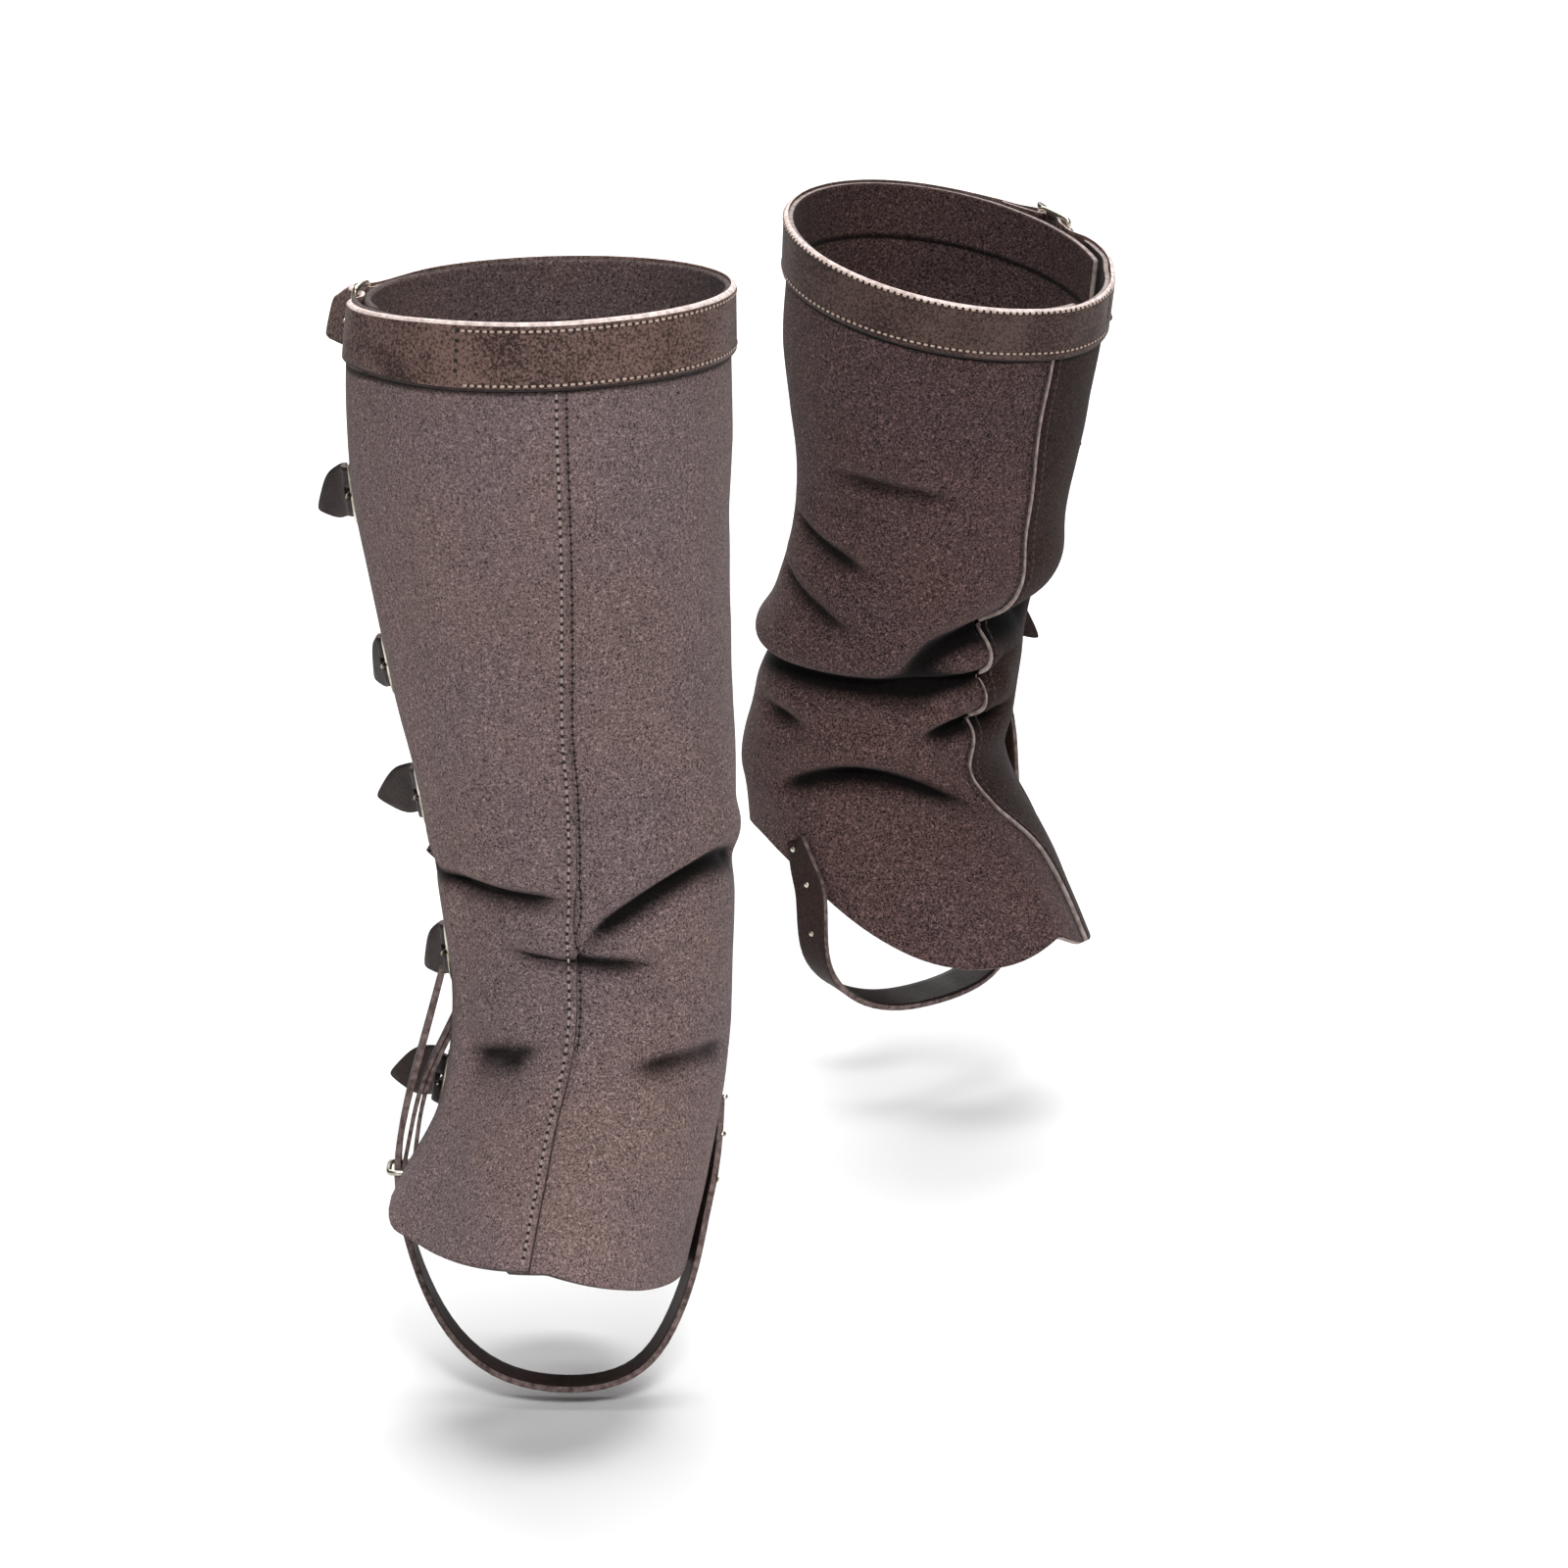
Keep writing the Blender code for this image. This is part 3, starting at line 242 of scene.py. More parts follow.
class WornForm:
    """The form of one worn gaiter. The floor under its middle is the origin, the front is -Y and the outer
    side +X. Angle 0 is the front seam, 90 the outer side; along runs from 0 at the top to 1 at the hem."""

    def __init__(self, name, side, placement, sections, folds, creases, closure, flare, band_height):
        self.name = name
        self.side = side
        self.placement = placement
        self.sections = sections
        self.folds = folds
        self.creases = creases
        self.closure = closure
        self.strap_angle = closure + 8.0
        self.corner_flare = flare
        self.band_middle = self.along_at(self.strap_angle, band_height)
        near_band = 0.01
        high = self.plain_surface(self.strap_angle, self.band_middle - near_band)[0]
        low = self.plain_surface(self.strap_angle, self.band_middle + near_band)[0]
        self.band_slope = (high - low).length / (2 * near_band)

    def plain_surface(self, angle, along):
        """The form without its folds, with the direction outwards."""
        front_z, back_z, lean, wave, centre_x, half_width, front_y, back_y, seam = read_row(
            self.sections, along)
        turn = math.radians(angle + seam * max(0.0, math.cos(math.radians(angle)))**2)
        depth = (back_y - front_y) / 2
        ahead, aside = math.cos(turn), math.sin(turn)
        height = (front_z + back_z) / 2 + ahead * (front_z - back_z) / 2
        sideways = abs(aside) if ahead > 0.0 else aside * aside
        height += lean * aside - wave * sideways * ahead * 2
        point = Vector((
            centre_x + half_width * aside, (front_y + back_y) / 2 - depth * ahead, height))
        return point, Vector((aside * depth, -ahead * half_width, 0.0)).normalized()

    def along_at(self, angle, height):
        """Where the form reaches this height at this angle."""
        low, high = 0.0, 1.0
        for _ in range(24):
            middle = (low + high) / 2
            if self.plain_surface(angle, middle)[0].z > height:
                low = middle
            else:
                high = middle
        return low

    def pressed(self, rows, angle, height):
        """How far folds move the suede out, and how far they let it sag."""
        out, sag = 0.0, 0.0
        for from_angle, from_height, to_angle, to_height, bow, depth, reach, roll in rows:
            here = turned(angle, (from_angle + to_angle) / 2)
            share = (here - from_angle) / (to_angle - from_angle)
            if share <= 0.0 or share >= 1.0:
                continue
            ends = max(SLOWEST_END, abs(to_angle - from_angle) / DEGREES_PER_END)
            fade = smooth(min(share, 1.0 - share) * ends)
            line = from_height + (to_height - from_height) * share + bow * math.sin(math.pi * share)
            away = (height - line) / (reach * (0.6 + 0.4 * fade))
            trough = math.exp(-(away * 1.6)**1.7) if away > 0.0 else math.exp(-(-away * 1.05)**1.5)
            out += fade * (roll * math.exp(-(away - ROLL_ABOVE)**2) - PRESS * depth * trough)
            sag += fade * roll * SAG_SHARE * math.exp(-(away - SAG_ABOVE)**2)
        return out, sag

    def surface(self, angle, along):
        """The outer face of the inner panel, and how deep in a fold it lies, for the painted shade there.
        The straps hold the deep folds down, and the light creases start below the band."""
        point, outward = self.plain_surface(angle, along)
        aside = abs(turned(angle, self.strap_angle) - self.strap_angle)
        free = 0.25 + 0.75 * smooth((aside - 20.0) / 18.0)
        out, sag = self.pressed(self.folds, angle, point.z)
        # The painted shade keeps the folds' full depth, also where the straps hold the suede down.
        shade = out
        out, sag = out * free, sag * free
        light, light_sag = self.pressed(self.creases, angle, point.z)
        loose = smooth((aside - 24.0) / 16.0) * smooth((along - 0.09) / 0.05)
        spot = self.placement @ point
        ripple = sum(size * noise.noise(spot * pace) for size, pace in (LONG_RIPPLE, SHORT_RIPPLE))
        out += (light + ripple) * loose
        shade += (light + ripple) * loose
        return point + outward * out - Vector((0.0, 0.0, sag + light_sag * loose)), shade

    def placed(self, point):
        return self.placement @ Vector((point.x * self.side, point.y, point.z)) - TOP_MIDDLE

    def outer_lift(self, angle, along):
        """How high the outer panel lies: over the inner one, and over the straps at its rear edge."""
        rise = smooth((angle - (self.closure - 26.0)) / 14.0)
        flare = smooth((angle - (self.closure - 34.0)) / 34.0) * smooth((along - 0.86) / 0.14)
        return GAP + (STRAP_THICK + STRAP_ROOM) * rise + self.corner_flare * flare

    def outer_hem(self, angle):
        """The outer panel's hem, rounded up at its rear corner."""
        into = clamp((angle - (self.closure - 15.0)) / 15.0)
        return 1.0 - 0.050 * (1.0 - math.sqrt(1.0 - into * into))

    def inner_lift(self, angle, along):
        return -SUEDE

    def inner_hem(self, angle):
        return 1.0


def link_piece(name, shape, materials):
    """Makes a bmesh into a piece of the object that rides on its body."""
    mesh = bpy.data.meshes.new(name)
    shape.to_mesh(mesh)
    shape.free()
    for material in materials:
        mesh.materials.append(material)
    mesh.shade_smooth()
    piece = bpy.data.objects.new(name, mesh)
    bpy.context.scene.collection.objects.link(piece)
    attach(piece, "root")
    return piece


def push_out(shape, distance):
    """Moves every point of a bmesh outwards by what distance gives for it."""
    moved = {vert: vert.co + vert.normal * distance(vert) for vert in shape.verts}
    for vert, place in moved.items():
        vert.co = place


def cut_panel(name, form, low_angle, high_angle, hem, lift, materials):
    """A grid laid on the worn form and moved out to where the piece lies, then given its thickness. It holds
    painted shade: how deep each point lies in a fold, and a painted shadow line right under the band."""
    shape = bmesh.new()
    columns = round((high_angle - low_angle) * DEGREE_WIDTH / COLUMN_CELL)
    rows = round(PANEL_LENGTH / ROW_CELL)
    bmesh.ops.create_grid(shape, x_segments=columns, y_segments=rows, size=0.5)
    worn = shape.verts.layers.float.new("worn")
    places = {}
    for vert in shape.verts:
        angle = low_angle + (high_angle - low_angle) * (vert.co.x + 0.5)
        along = PANEL_TOP + (hem(angle) - PANEL_TOP) * (0.5 - vert.co.y)
        point, shade = form.surface(angle, along)
        vert.co = form.placed(point)
        # Painted shade: darker by how deep the suede lies in a fold, and in a painted shadow line right
        # under the band.
        below_band = (along - form.band_middle) * form.band_slope - BAND_WIDTH / 2
        vert[worn] = shade - SHADOW_DEPTH * math.exp(-((below_band - SHADOW_DROP) / SHADOW_WIDTH)**2)
        places[vert] = (angle, along)
    shape.normal_update()
    vert, (angle, along) = next(iter(places.items()))
    point, outward = form.plain_surface(angle, along)
    if vert.normal.dot(form.placed(point + outward) - form.placed(point)) < 0.0:
        bmesh.ops.reverse_faces(shape, faces=shape.faces)
        shape.normal_update()
    push_out(shape, lambda vert: lift(*places[vert]) + SUEDE)
    panel = link_piece(name + "_suede", shape, materials)
    wall = panel.modifiers.new("suede thickness", "SOLIDIFY")
    wall.thickness = SUEDE
    wall.offset = -1.0
    wall.material_offset_rim = 1
    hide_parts(name)
    return panel


def add_node(tree, kind, **sockets):
    """A shader node with its sockets set or linked by name, spaces written as underscores."""
    made = tree.nodes.new(kind)
    for label, value in sockets.items():
        socket = made.inputs[label.replace("_", " ")]
        if isinstance(value, bpy.types.NodeSocket):
            tree.links.new(value, socket)
        else:
            socket.default_value = value
    return made


def add_noise(tree, scale, detail=3.0, distortion=0.0):
    place = add_node(tree, "ShaderNodeTexCoord")
    cloud = add_node(tree, "ShaderNodeTexNoise", Vector=place.outputs["Object"], Scale=scale, Detail=detail,
                     Distortion=distortion)
    return cloud.outputs["Fac"]


def blend_colours(tree, factor, first, second, kind="MIX"):
    mixer = tree.nodes.new("ShaderNodeMix")
    mixer.data_type = "RGBA"
    mixer.blend_type = kind
    for socket, value in ((mixer.inputs[0], factor), (mixer.inputs[6], first), (mixer.inputs[7], second)):
        if isinstance(value, bpy.types.NodeSocket):
            tree.links.new(value, socket)
        else:
            socket.default_value = value
    return mixer.outputs[2]


def add_ramp(tree, factor, *stops):
    ramp = add_node(tree, "ShaderNodeValToRGB", Fac=factor)
    while len(ramp.color_ramp.elements) < len(stops):
        ramp.color_ramp.elements.new(0.5)
    for element, (place, colour) in zip(ramp.color_ramp.elements, stops):
        element.position = place
        element.color = (*colour, 1.0)
    return ramp.outputs["Color"]


def add_maths(tree, operation, *values):
    sum_node = tree.nodes.new("ShaderNodeMath")
    sum_node.operation = operation
    for socket, value in zip(sum_node.inputs, values):
        if isinstance(value, bpy.types.NodeSocket):
            tree.links.new(value, socket)
        else:
            socket.default_value = value
    return sum_node.outputs[0]


def add_bump(tree, height, distance, strength, under=None):
    bump = add_node(tree, "ShaderNodeBump", Height=height, Distance=distance, Strength=strength)
    if under is not None:
        tree.links.new(under, bump.inputs["Normal"])
    return bump.outputs["Normal"]


def new_finish(name, roughness, **sockets):
    """A material with its shader's own sockets set, ready for its nodes."""
    made = bpy.data.materials.new(name)
    made.use_nodes = True
    shader = made.node_tree.nodes["Principled BSDF"]
    shader.inputs["Roughness"].default_value = roughness
    for label, value in sockets.items():
        shader.inputs[label.replace("_", " ")].default_value = value
    return made, made.node_tree, shader


NAP_DEPTH = 0.0005


def suede_finish(name, cool, warm, contrast):
    """Napped suede: fine light and dark specks over soft cool and warm patches, with painted shade in its
    folds and under the band, and painted light, darker at the top and lighter toward the hem."""
    made, tree, shader = new_finish(name, 0.95, Sheen_Weight=0.04, Sheen_Roughness=0.5,
                                    Specular_IOR_Level=0.12)
    specks = add_noise(tree, 1500.0, 2.0)
    flecks = add_noise(tree, 850.0, 2.0)
    brushed = add_noise(tree, 150.0, 4.0, 0.6)
    patches = add_noise(tree, 14.0, 3.0)
    wide = add_noise(tree, 5.0, 2.0)
    hue = add_node(tree, "ShaderNodeMapRange", Value=patches, From_Min=0.38, From_Max=0.62)
    colour = blend_colours(tree, hue.outputs[0], (*cool, 1.0), (*warm, 1.0))
    tone = add_maths(tree, "MULTIPLY_ADD", specks, 3.4 * contrast, 1.0 - 1.7 * contrast)
    light_fleck = add_node(tree, "ShaderNodeMapRange", Value=flecks, From_Min=0.57, From_Max=0.70,
                           To_Max=contrast)
    dark_fleck = add_node(tree, "ShaderNodeMapRange", Value=flecks, From_Min=0.41, From_Max=0.29,
                          To_Max=-0.60 * contrast)
    tone = add_maths(tree, "ADD", tone, light_fleck.outputs[0])
    tone = add_maths(tree, "ADD", tone, dark_fleck.outputs[0])
    tone = add_maths(tree, "MULTIPLY_ADD", brushed, 0.30, add_maths(tree, "SUBTRACT", tone, 0.15))
    tone = add_maths(tree, "MULTIPLY_ADD", wide, 0.70, add_maths(tree, "SUBTRACT", tone, 0.35))
    tone = add_maths(tree, "MAXIMUM", tone, 0.12)
    # Painted shade: darker by how deep the point lies in a fold or in the shadow line under the band.
    worn = tree.nodes.new("ShaderNodeAttribute")
    worn.attribute_name = "worn"
    depth = add_node(tree, "ShaderNodeMapRange", Value=worn.outputs["Fac"], From_Min=-0.0050,
                     From_Max=-0.0002, To_Min=0.04, To_Max=1.0)
    depth.interpolation_type = "SMOOTHSTEP"
    # Painted light: darker at the top and lighter toward the hem.
    place = add_node(tree, "ShaderNodeTexCoord")
    parts = add_node(tree, "ShaderNodeSeparateXYZ", Vector=place.outputs["Object"])
    painted_height_light = add_node(tree, "ShaderNodeMapRange", Value=parts.outputs["Z"], From_Min=-0.38, From_Max=0.0,
                    To_Min=1.16, To_Max=0.88)
    tone = add_maths(tree, "MULTIPLY", tone, painted_height_light.outputs[0])
    shade = add_maths(tree, "MULTIPLY", tone, depth.outputs[0])
    grey = add_node(tree, "ShaderNodeCombineColor", Red=shade, Green=shade, Blue=shade)
    colour = blend_colours(tree, 1.0, colour, grey.outputs[0], "MULTIPLY")
    tree.links.new(colour, shader.inputs["Base Color"])
    nap = add_bump(tree, specks, NAP_DEPTH, 0.5)
    tree.links.new(add_bump(tree, brushed, 0.0009, 0.25, nap), shader.inputs["Normal"])
    return made


def cut_edge_finish(name, dark, light):
    """The raw cut edge of leather: fibres a little uneven, pale, or dark in the copies that are painted
    shade.
    """
    made, tree, shader = new_finish(name, 0.9)
    fibres = add_noise(tree, 380.0, 3.0)
    tree.links.new(add_ramp(tree, fibres, (0.35, dark), (0.65, light)), shader.inputs["Base Color"])
    tree.links.new(add_bump(tree, fibres, 0.0004, 0.5), shader.inputs["Normal"])
    return made


near_suede = suede_finish("near_suede", (0.138, 0.100, 0.102), (0.155, 0.108, 0.099), 1.0)
# Painted shade: the far gaiter's suede is a darker copy of the near one's, and its outer panel's a darker
# copy still, a painted shadow on the side turned from the light.
far_suede = suede_finish("far_suede", (0.066, 0.041, 0.041), (0.073, 0.044, 0.040), 1.5)
far_outer_shadow_suede = suede_finish("far_outer_shadow_suede", (0.024, 0.013, 0.012), (0.027, 0.015, 0.012), 1.3)
# Painted shade: the near panels' cut edge is a dark copy of the far ones', for the shadow along the near
# seam.
near_edge = cut_edge_finish("near_suede_edge_shade", (0.030, 0.020, 0.018), (0.090, 0.064, 0.058))
far_edge = cut_edge_finish("far_suede_edge", (0.22, 0.17, 0.155), (0.40, 0.33, 0.31))

FAR_PLACE = Matrix.Translation((0.117, 0.390, 0.0)) @ Matrix.Rotation(math.radians(48.0), 4, "Z")
near = WornForm("near", -1.0, Matrix.Identity(4), NEAR_SECTIONS, NEAR_FOLDS, NEAR_CREASES,
                closure=86.0, flare=0.010, band_height=0.4110)
far = WornForm("far", 1.0, FAR_PLACE, FAR_SECTIONS, FAR_FOLDS, FAR_CREASES,
               closure=74.0, flare=0.003, band_height=0.3560)

panels = {}
for form, outer_suede, inner_suede, edge in ((near, near_suede, near_suede, near_edge),
                                             (far, far_outer_shadow_suede, far_suede, far_edge)):
    panels[form.name, "outer"] = cut_panel(
        form.name + "_outer_panel", form, SEAM_EDGE, form.closure, form.outer_hem, form.outer_lift,
        (outer_suede, edge))
    panels[form.name, "inner"] = cut_panel(
        form.name + "_inner_panel", form, form.closure - TUCK, 360.0 + SEAM_LAP, form.inner_hem,
        form.inner_lift, (inner_suede, edge))


# Top bands: a 25 mm strip of smooth brown leather sewn round each top edge with pale thread. Its rear end
# is folded round the top buckle, and past a cross row of stitches on the outer side it is a free strap.
FACET_ANGLE = math.radians(30)
CRISP_ANGLE = math.radians(65)
THICKEST_SIDE = 0.0026


def keep_crisp(shape):
    """Marks the edges that stay crisp, gives the narrow cut sides between them the second material, and
    returns the mark."""
    crease = shape.edges.layers.float.new("crease_edge")
    for edge in shape.edges:
        if edge.is_manifold and edge.calc_face_angle() > CRISP_ANGLE:
            edge[crease] = 1.0
    for face in shape.faces:
        if len(face.edges) != 4:
            continue
        for first in (0, 1):
            ends = face.edges[first], face.edges[first + 2]
            sides = face.edges[1 - first], face.edges[3 - first]
            thick = max(side.calc_length() for side in sides)
            if all(end[crease] for end in ends) and thick < THICKEST_SIDE:
                face.material_index = 1
    return crease


def round_rims(shape, crease, rim):
    """Rounds the outer top edge in the second material, and the outer lower one less, in the third, which
    is painted shade.
    """
    middle = sum((vert.co for vert in shape.verts), Vector()) / len(shape.verts)
    for up, width, finish in ((1.0, rim, 1), (-1.0, rim * 0.8, 2)):
        bevelled = []
        for edge in shape.edges:
            if not edge[crease] or not edge.is_manifold:
                continue
            flat, upright = sorted(edge.link_faces, key=lambda face: -up * face.normal.z)
            place = (edge.verts[0].co + edge.verts[1].co) / 2 - middle
            if up * flat.normal.z > 0.6 and upright.normal.xy.dot(place.xy) > 0.3 * place.xy.length:
                bevelled.append(edge)
        bmesh.ops.bevel(shape, geom=bevelled, offset=width, offset_type="OFFSET", segments=2,
                        profile=0.5, affect="EDGES", material=finish)
        shape.normal_update()


def softened(node, materials, swell=0.0, rim=0.0):
    """A copy of a solid strip or wire with its facets smoothed. A wire swells a little, to stay as thick as
    its solid, and a strip keeps its crisp edges. A rim is how far a band's top edge is rounded over."""
    shape = bmesh.new()
    shape.from_mesh(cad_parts[node].data)
    bmesh.ops.remove_doubles(shape, verts=shape.verts, dist=0.00001)
    bmesh.ops.join_triangles(shape, faces=shape.faces, angle_face_threshold=FACET_ANGLE,
                             angle_shape_threshold=math.radians(180))
    shape.normal_update()
    if swell:
        push_out(shape, lambda vert: swell)
    else:
        crease = keep_crisp(shape)
        if rim:
            round_rims(shape, crease, rim)
    piece = link_piece(node + "_piece", shape, materials)
    rounder = piece.modifiers.new("soft form", "SUBSURF")
    rounder.levels = 2
    rounder.render_levels = 2
    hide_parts(node)
    return piece


LEATHER_ROUGHNESS = 0.60


def smooth_leather_finish(name, dark, light, grain):
    """Smooth leather with fine grain, faint creases and a worn, uneven polish."""
    made, tree, shader = new_finish(name, LEATHER_ROUGHNESS, Specular_IOR_Level=0.25)
    clouds = add_noise(tree, 34.0, 5.0, 0.4)
    fine = add_noise(tree, 950.0, 3.0)
    tone = add_maths(tree, "MULTIPLY_ADD", fine, 0.70, add_maths(tree, "MULTIPLY", clouds, 0.30))
    tree.links.new(add_ramp(tree, tone, (0.41, dark), (0.59, light)), shader.inputs["Base Color"])
    polish = add_node(tree, "ShaderNodeMapRange", Value=clouds, To_Min=LEATHER_ROUGHNESS + 0.18,
                      To_Max=LEATHER_ROUGHNESS - 0.14)
    tree.links.new(polish.outputs[0], shader.inputs["Roughness"])
    place = add_node(tree, "ShaderNodeTexCoord")
    pebbles = add_node(tree, "ShaderNodeTexVoronoi", Vector=place.outputs["Object"], Scale=grain)
    rough_grain = add_bump(tree, pebbles.outputs["Distance"], 0.0003, 0.35)
    tree.links.new(add_bump(tree, clouds, 0.0010, 0.30, rough_grain), shader.inputs["Normal"])
    return made


BAND_RIM = 0.0014
# Painted shade: the far band's leather is a darker copy of the near band's.
band_leather = {
    "near": smooth_leather_finish("near_band_leather", (0.026, 0.012, 0.010), (0.168, 0.102, 0.087), 900.0),
    "far": smooth_leather_finish("far_band_leather", (0.018, 0.009, 0.007), (0.092, 0.054, 0.046), 900.0)}
pale_edge = cut_edge_finish("pale_cut_edge", (0.50, 0.39, 0.36), (0.82, 0.70, 0.67))
# Painted shade: the band's rounded lower edge is nearly black, for the shade along the band's underside.
lower_edge = cut_edge_finish("band_lower_edge_shade", (0.010, 0.006, 0.005), (0.024, 0.014, 0.012))
bands = {}
for side in ("near", "far"):
    bands[side] = softened(side + "_top_band", (band_leather[side], pale_edge, lower_edge),
                           rim=BAND_RIM)


# Stitching: two rows along each top band and one across it where its free end starts, a row beside the cut
# edge of the front seam with dark dashes of painted shadow along that edge, and a row down the rear edge of
# the outer panel that holds the strap roots.
BAND_ROWS = (("upper", 0.0101), ("lower", -0.0102))
BAND_CROSS_ROW = 389.5
BAND_PITCH = 0.0029
CROSS_PITCH = 0.0037
CROSS_HOLE = 0.0009
CROSS_STEPS = 30
SEAM_PITCH = 0.0034
SEAM_HOLE = 0.00075
ROOT_PITCH = 0.0036
BEAD_SHARE = 0.37
HOLE_DEPTH = 0.0003
ROW_TOP = 0.070
BAND_OUTSIDE = 0.0080
PANEL_OUTSIDE = 0.0036
BAND_STEPS = 240
ROW_STEPS = 160


def surface_tree(piece):
    return BVHTree.FromObject(piece, bpy.context.evaluated_depsgraph_get())


def sew(name, route, piece, pitch, materials, radius=0.00050, hole=0.00068):
    """Stitches along a route laid on a piece: a raised bead of thread between every two needle holes."""
    tree = surface_tree(piece)
    laid = [tree.find_nearest(point)[:2] for point in route]
    spots = [laid[0]]
    for place, outward in laid[1:]:
        while (place - spots[-1][0]).length > pitch:
            step = spots[-1][0] + (place - spots[-1][0]).normalized() * pitch
            spots.append(tree.find_nearest(step + outward * 0.0004)[:2])
    shape = bmesh.new()
    for (start, start_out), (end, end_out) in zip(spots, spots[1:]):
        ahead = (end - start).normalized()
        outward = (start_out + end_out).normalized()
        aside = outward.cross(ahead).normalized()
        axes = Matrix((ahead, aside, ahead.cross(aside))).transposed().to_4x4()
        bead = Matrix.Diagonal(((end - start).length * BEAD_SHARE, radius, radius * 0.8, 1.0))
        bmesh.ops.create_icosphere(shape, subdivisions=2, radius=1.0,
                                   matrix=Matrix.Translation((start + end) / 2) @ axes @ bead)
        disc = bmesh.ops.create_cone(shape, cap_ends=True, segments=8, radius1=hole, radius2=hole,
                                     depth=HOLE_DEPTH, matrix=Matrix.Translation(start) @ axes)
        for face in {face for vert in disc["verts"] for face in vert.link_faces}:
            face.material_index = 1
    return link_piece(name, shape, materials)


def lifted(form, angle, along, height):
    """A point this far outside the inner panel, in the object's frame."""
    outward = form.plain_surface(angle, along)[1]
    return form.placed(form.surface(angle, along)[0] + outward * height)


def row_beside(form, edge_angle, aside, low, high):
    """Places down the form at a fixed distance from a panel's edge."""
    route = []
    for step in range(ROW_STEPS + 1):
        along = low + (high - low) * step / ROW_STEPS
        width = (form.surface(edge_angle + 0.5, along)[0] - form.surface(edge_angle - 0.5, along)[0]).length
        route.append(lifted(form, edge_angle + aside / width, along, PANEL_OUTSIDE))
    return route


def thread_finish(name, colour):
    """Waxed thread, with fine darker specks of painted shade for the hollows of its twist."""
    made, tree, shader = new_finish(name, 0.8)
    twist = add_noise(tree, 900.0, 2.0)
    darker = tuple(part * 0.7 for part in colour)
    tree.links.new(add_ramp(tree, twist, (0.4, darker), (0.6, colour)), shader.inputs["Base Color"])
    return made


# Painted shade: each needle hole is a flat dark disc where the thread goes into the leather.
needle_hole = new_finish("needle_hole", 0.95, Base_Color=(0.012, 0.007, 0.006, 1.0))[0]
pale_thread = thread_finish("pale_thread", (0.50, 0.37, 0.30))
brown_thread = thread_finish("brown_thread", (0.14, 0.085, 0.065))
near_thread = thread_finish("taupe_thread", (0.36, 0.29, 0.26))
# Painted shade: the far gaiter's seam thread is a darker copy of the taupe thread, on its shaded outer
# panel.
far_thread = thread_finish("shaded_taupe_thread", (0.050, 0.034, 0.031))

for form, first, thread, aside in ((near, 128.0, near_thread, 0.0027), (far, 116.0, far_thread, 0.0037)):
    side = form.name
    band = bands[side]
    turns = [first + (BAND_CROSS_ROW - first) * step / BAND_STEPS for step in range(BAND_STEPS + 1)]
    for label, up in BAND_ROWS:
        along = form.band_middle - up / form.band_slope
        route = [lifted(form, angle, along, BAND_OUTSIDE) for angle in turns]
        sew(f"{side}_band_{label}_stitches", route, band, BAND_PITCH, (pale_thread, needle_hole))

    highest, lowest = BAND_ROWS[0][1], BAND_ROWS[1][1]
    ups = [highest - (highest - lowest) * step / CROSS_STEPS for step in range(CROSS_STEPS + 1)]
    places = [form.band_middle - up / form.band_slope for up in ups]
    route = [lifted(form, BAND_CROSS_ROW, along, BAND_OUTSIDE) for along in places]
    sew(f"{side}_band_cross_stitches", route, band, CROSS_PITCH, (brown_thread, needle_hole),
        hole=CROSS_HOLE)

    route = row_beside(form, SEAM_EDGE, aside, ROW_TOP, 0.992)
    sew(f"{side}_seam_stitches", route, panels[side, "outer"], SEAM_PITCH, (thread, needle_hole),
        hole=SEAM_HOLE)
    # Painted shadow: thin dark dashes on the inner panel right beside the outer panel's cut edge.
    route = row_beside(form, SEAM_EDGE, -0.0012, ROW_TOP, 0.800)
    sew(f"{side}_edge_pricks", route, panels[side, "inner"], SEAM_PITCH, (needle_hole, needle_hole),
        radius=0.0002)
    route = row_beside(form, form.closure, -0.0050, ROW_TOP, 0.930)
    sew(f"{side}_strap_root_stitches", route, panels[side, "outer"], ROOT_PITCH, (thread, needle_hole))


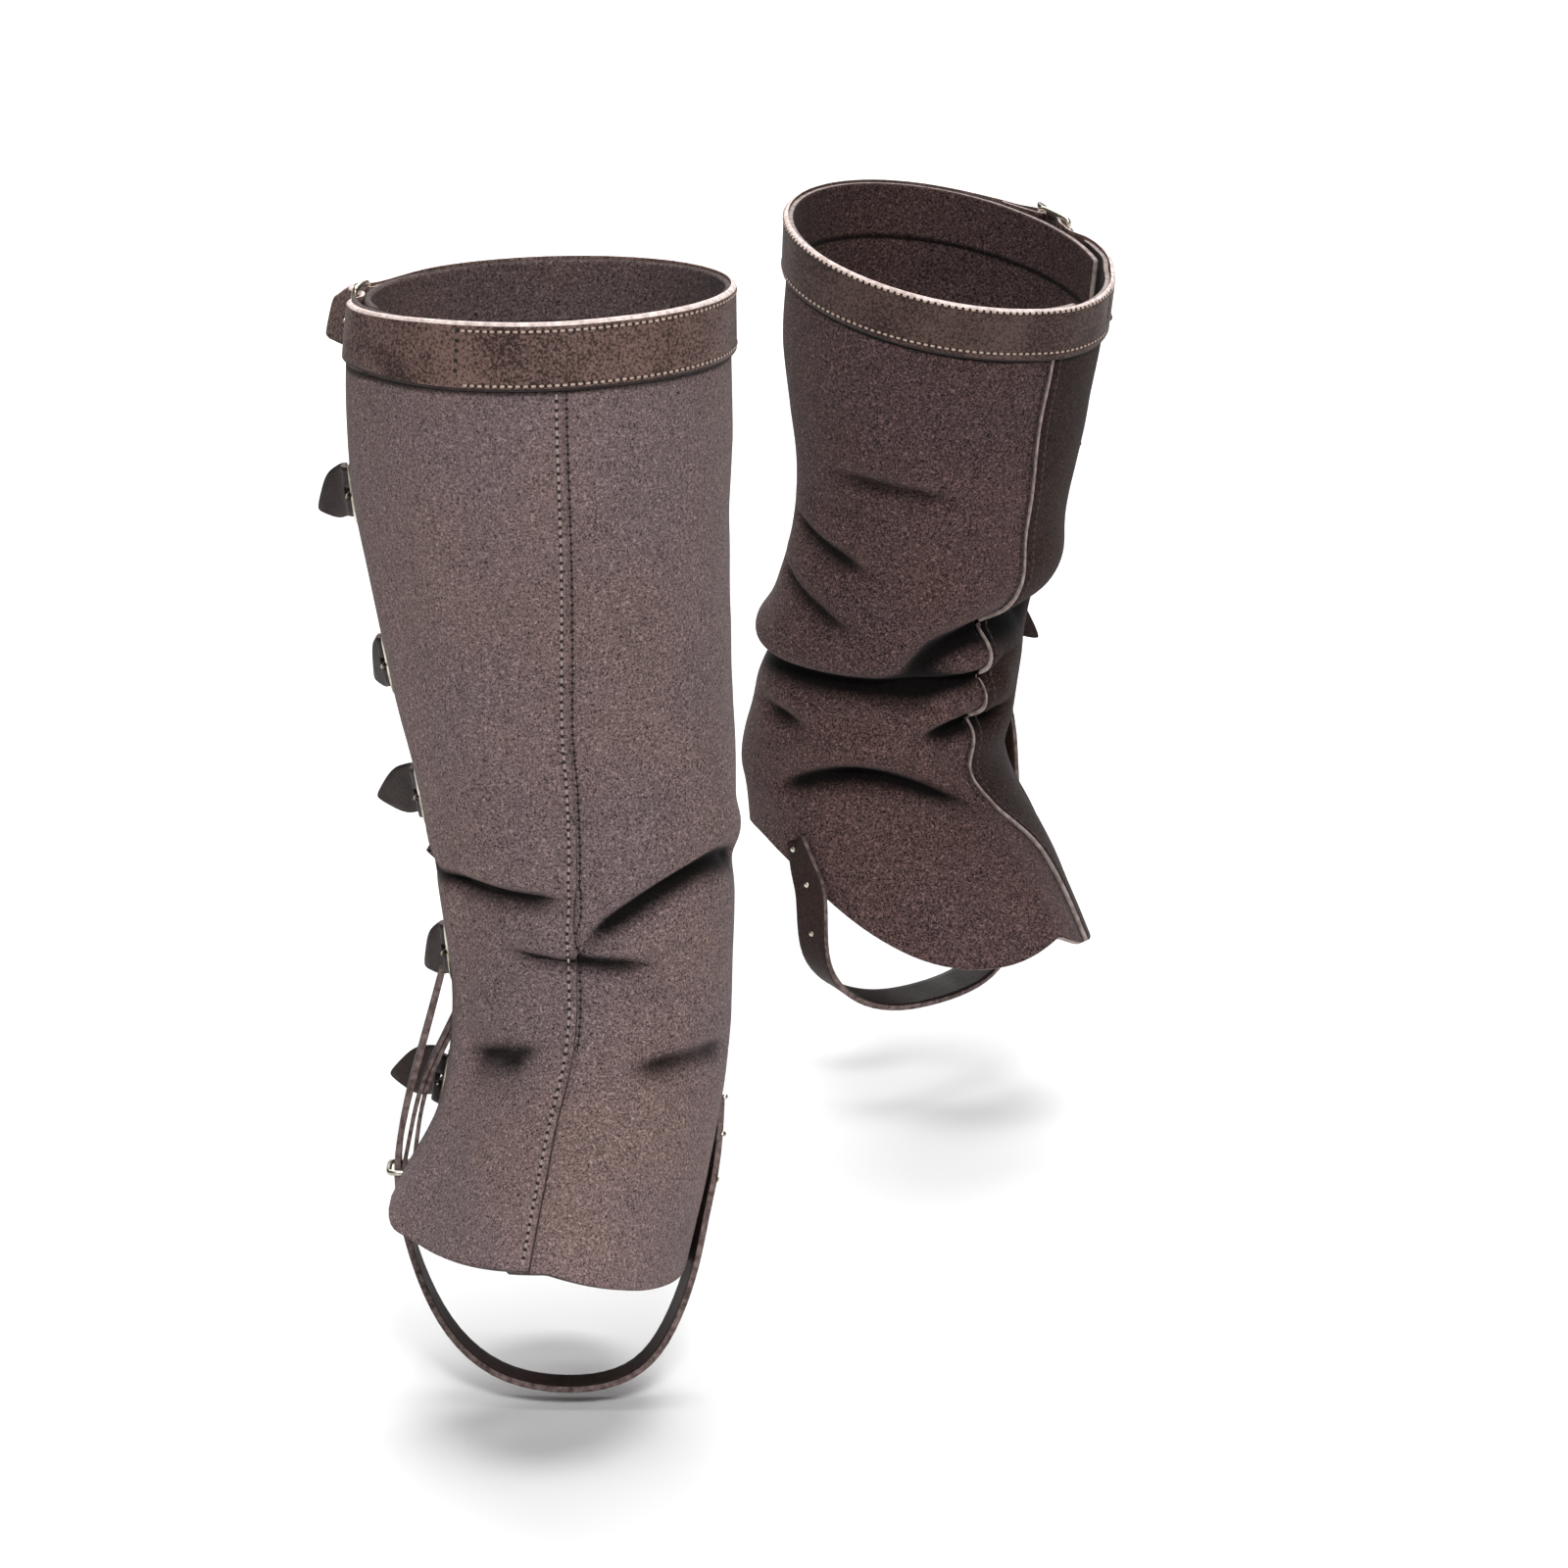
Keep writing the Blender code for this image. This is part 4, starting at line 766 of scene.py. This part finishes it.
# Side straps: five 19 mm straps a gaiter, of dark leather with pale cut edges, each with a folded loop of
# the same leather that holds its buckle.
strap_leather = smooth_leather_finish("strap_leather", (0.010, 0.005, 0.004), (0.032, 0.013, 0.010), 1100.0)
strap_edge = cut_edge_finish("strap_cut_edge", (0.06, 0.036, 0.032), (0.20, 0.145, 0.135))
for side in ("near", "far"):
    for number in range(2, 7):
        softened(f"{side}_strap_{number}", (strap_leather, strap_edge))
        softened(f"{side}_chape_{number}", (strap_leather, strap_edge))


# Buckles: small frames of bent wire in worn pale nickel, one for each strap and a larger one for the band.
# Each has a hooked prong that turns on its inner bar and rests on its outer one.
WIRE_SWELL = 0.00014
PRONG_SWELL = 0.00010
nickel, nickel_tree, nickel_shader = new_finish("worn_nickel", 0.3, Metallic=1.0)
patina = add_noise(nickel_tree, 160.0, 5.0)
nickel_tree.links.new(add_ramp(nickel_tree, patina, (0.36, (0.26, 0.22, 0.16)), (0.56, (0.72, 0.68, 0.58))),
                      nickel_shader.inputs["Base Color"])
nickel_tree.links.new(add_bump(nickel_tree, patina, 0.0002, 0.3), nickel_shader.inputs["Normal"])
for side in ("near", "far"):
    for number in range(1, 7):
        softened(f"{side}_buckle_{number}", (nickel,), swell=WIRE_SWELL)
        softened(f"{side}_prong_{number}", (nickel,), swell=PRONG_SWELL)


# Stirrup straps: one thick strap a gaiter that passes below the hem, from a rounded end on the inner side
# to a small wire loop on the outer side, with a folded strip that holds the loop. Three rivets hold its
# inner end.
RIVET_PLACES = ((-0.0571, 0.0024, 0.1138), (-0.0582, -0.0063, 0.1002), (-0.0612, -0.0118, 0.0805))
RIVET_SIZE = (0.0012, 0.0012, 0.0006, 1.0)
for side in ("near", "far"):
    strap = softened(f"{side}_stirrup_strap", (strap_leather, strap_edge))
    tree = surface_tree(strap)
    form = near if side == "near" else far
    rivets = bmesh.new()
    for place in RIVET_PLACES:
        middle, outward = tree.find_nearest(form.placed(Vector(place)))[:2]
        head = Matrix.Translation(middle) @ outward.to_track_quat("Z", "Y").to_matrix().to_4x4()
        bmesh.ops.create_uvsphere(rivets, u_segments=16, v_segments=8, radius=1.0,
                                  matrix=head @ Matrix.Diagonal(RIVET_SIZE))
    link_piece(f"{side}_stirrup_rivets", rivets, (nickel,))
    softened(f"{side}_stirrup_chape", (strap_leather, strap_edge))
    softened(f"{side}_stirrup_ring", (nickel,), swell=WIRE_SWELL)
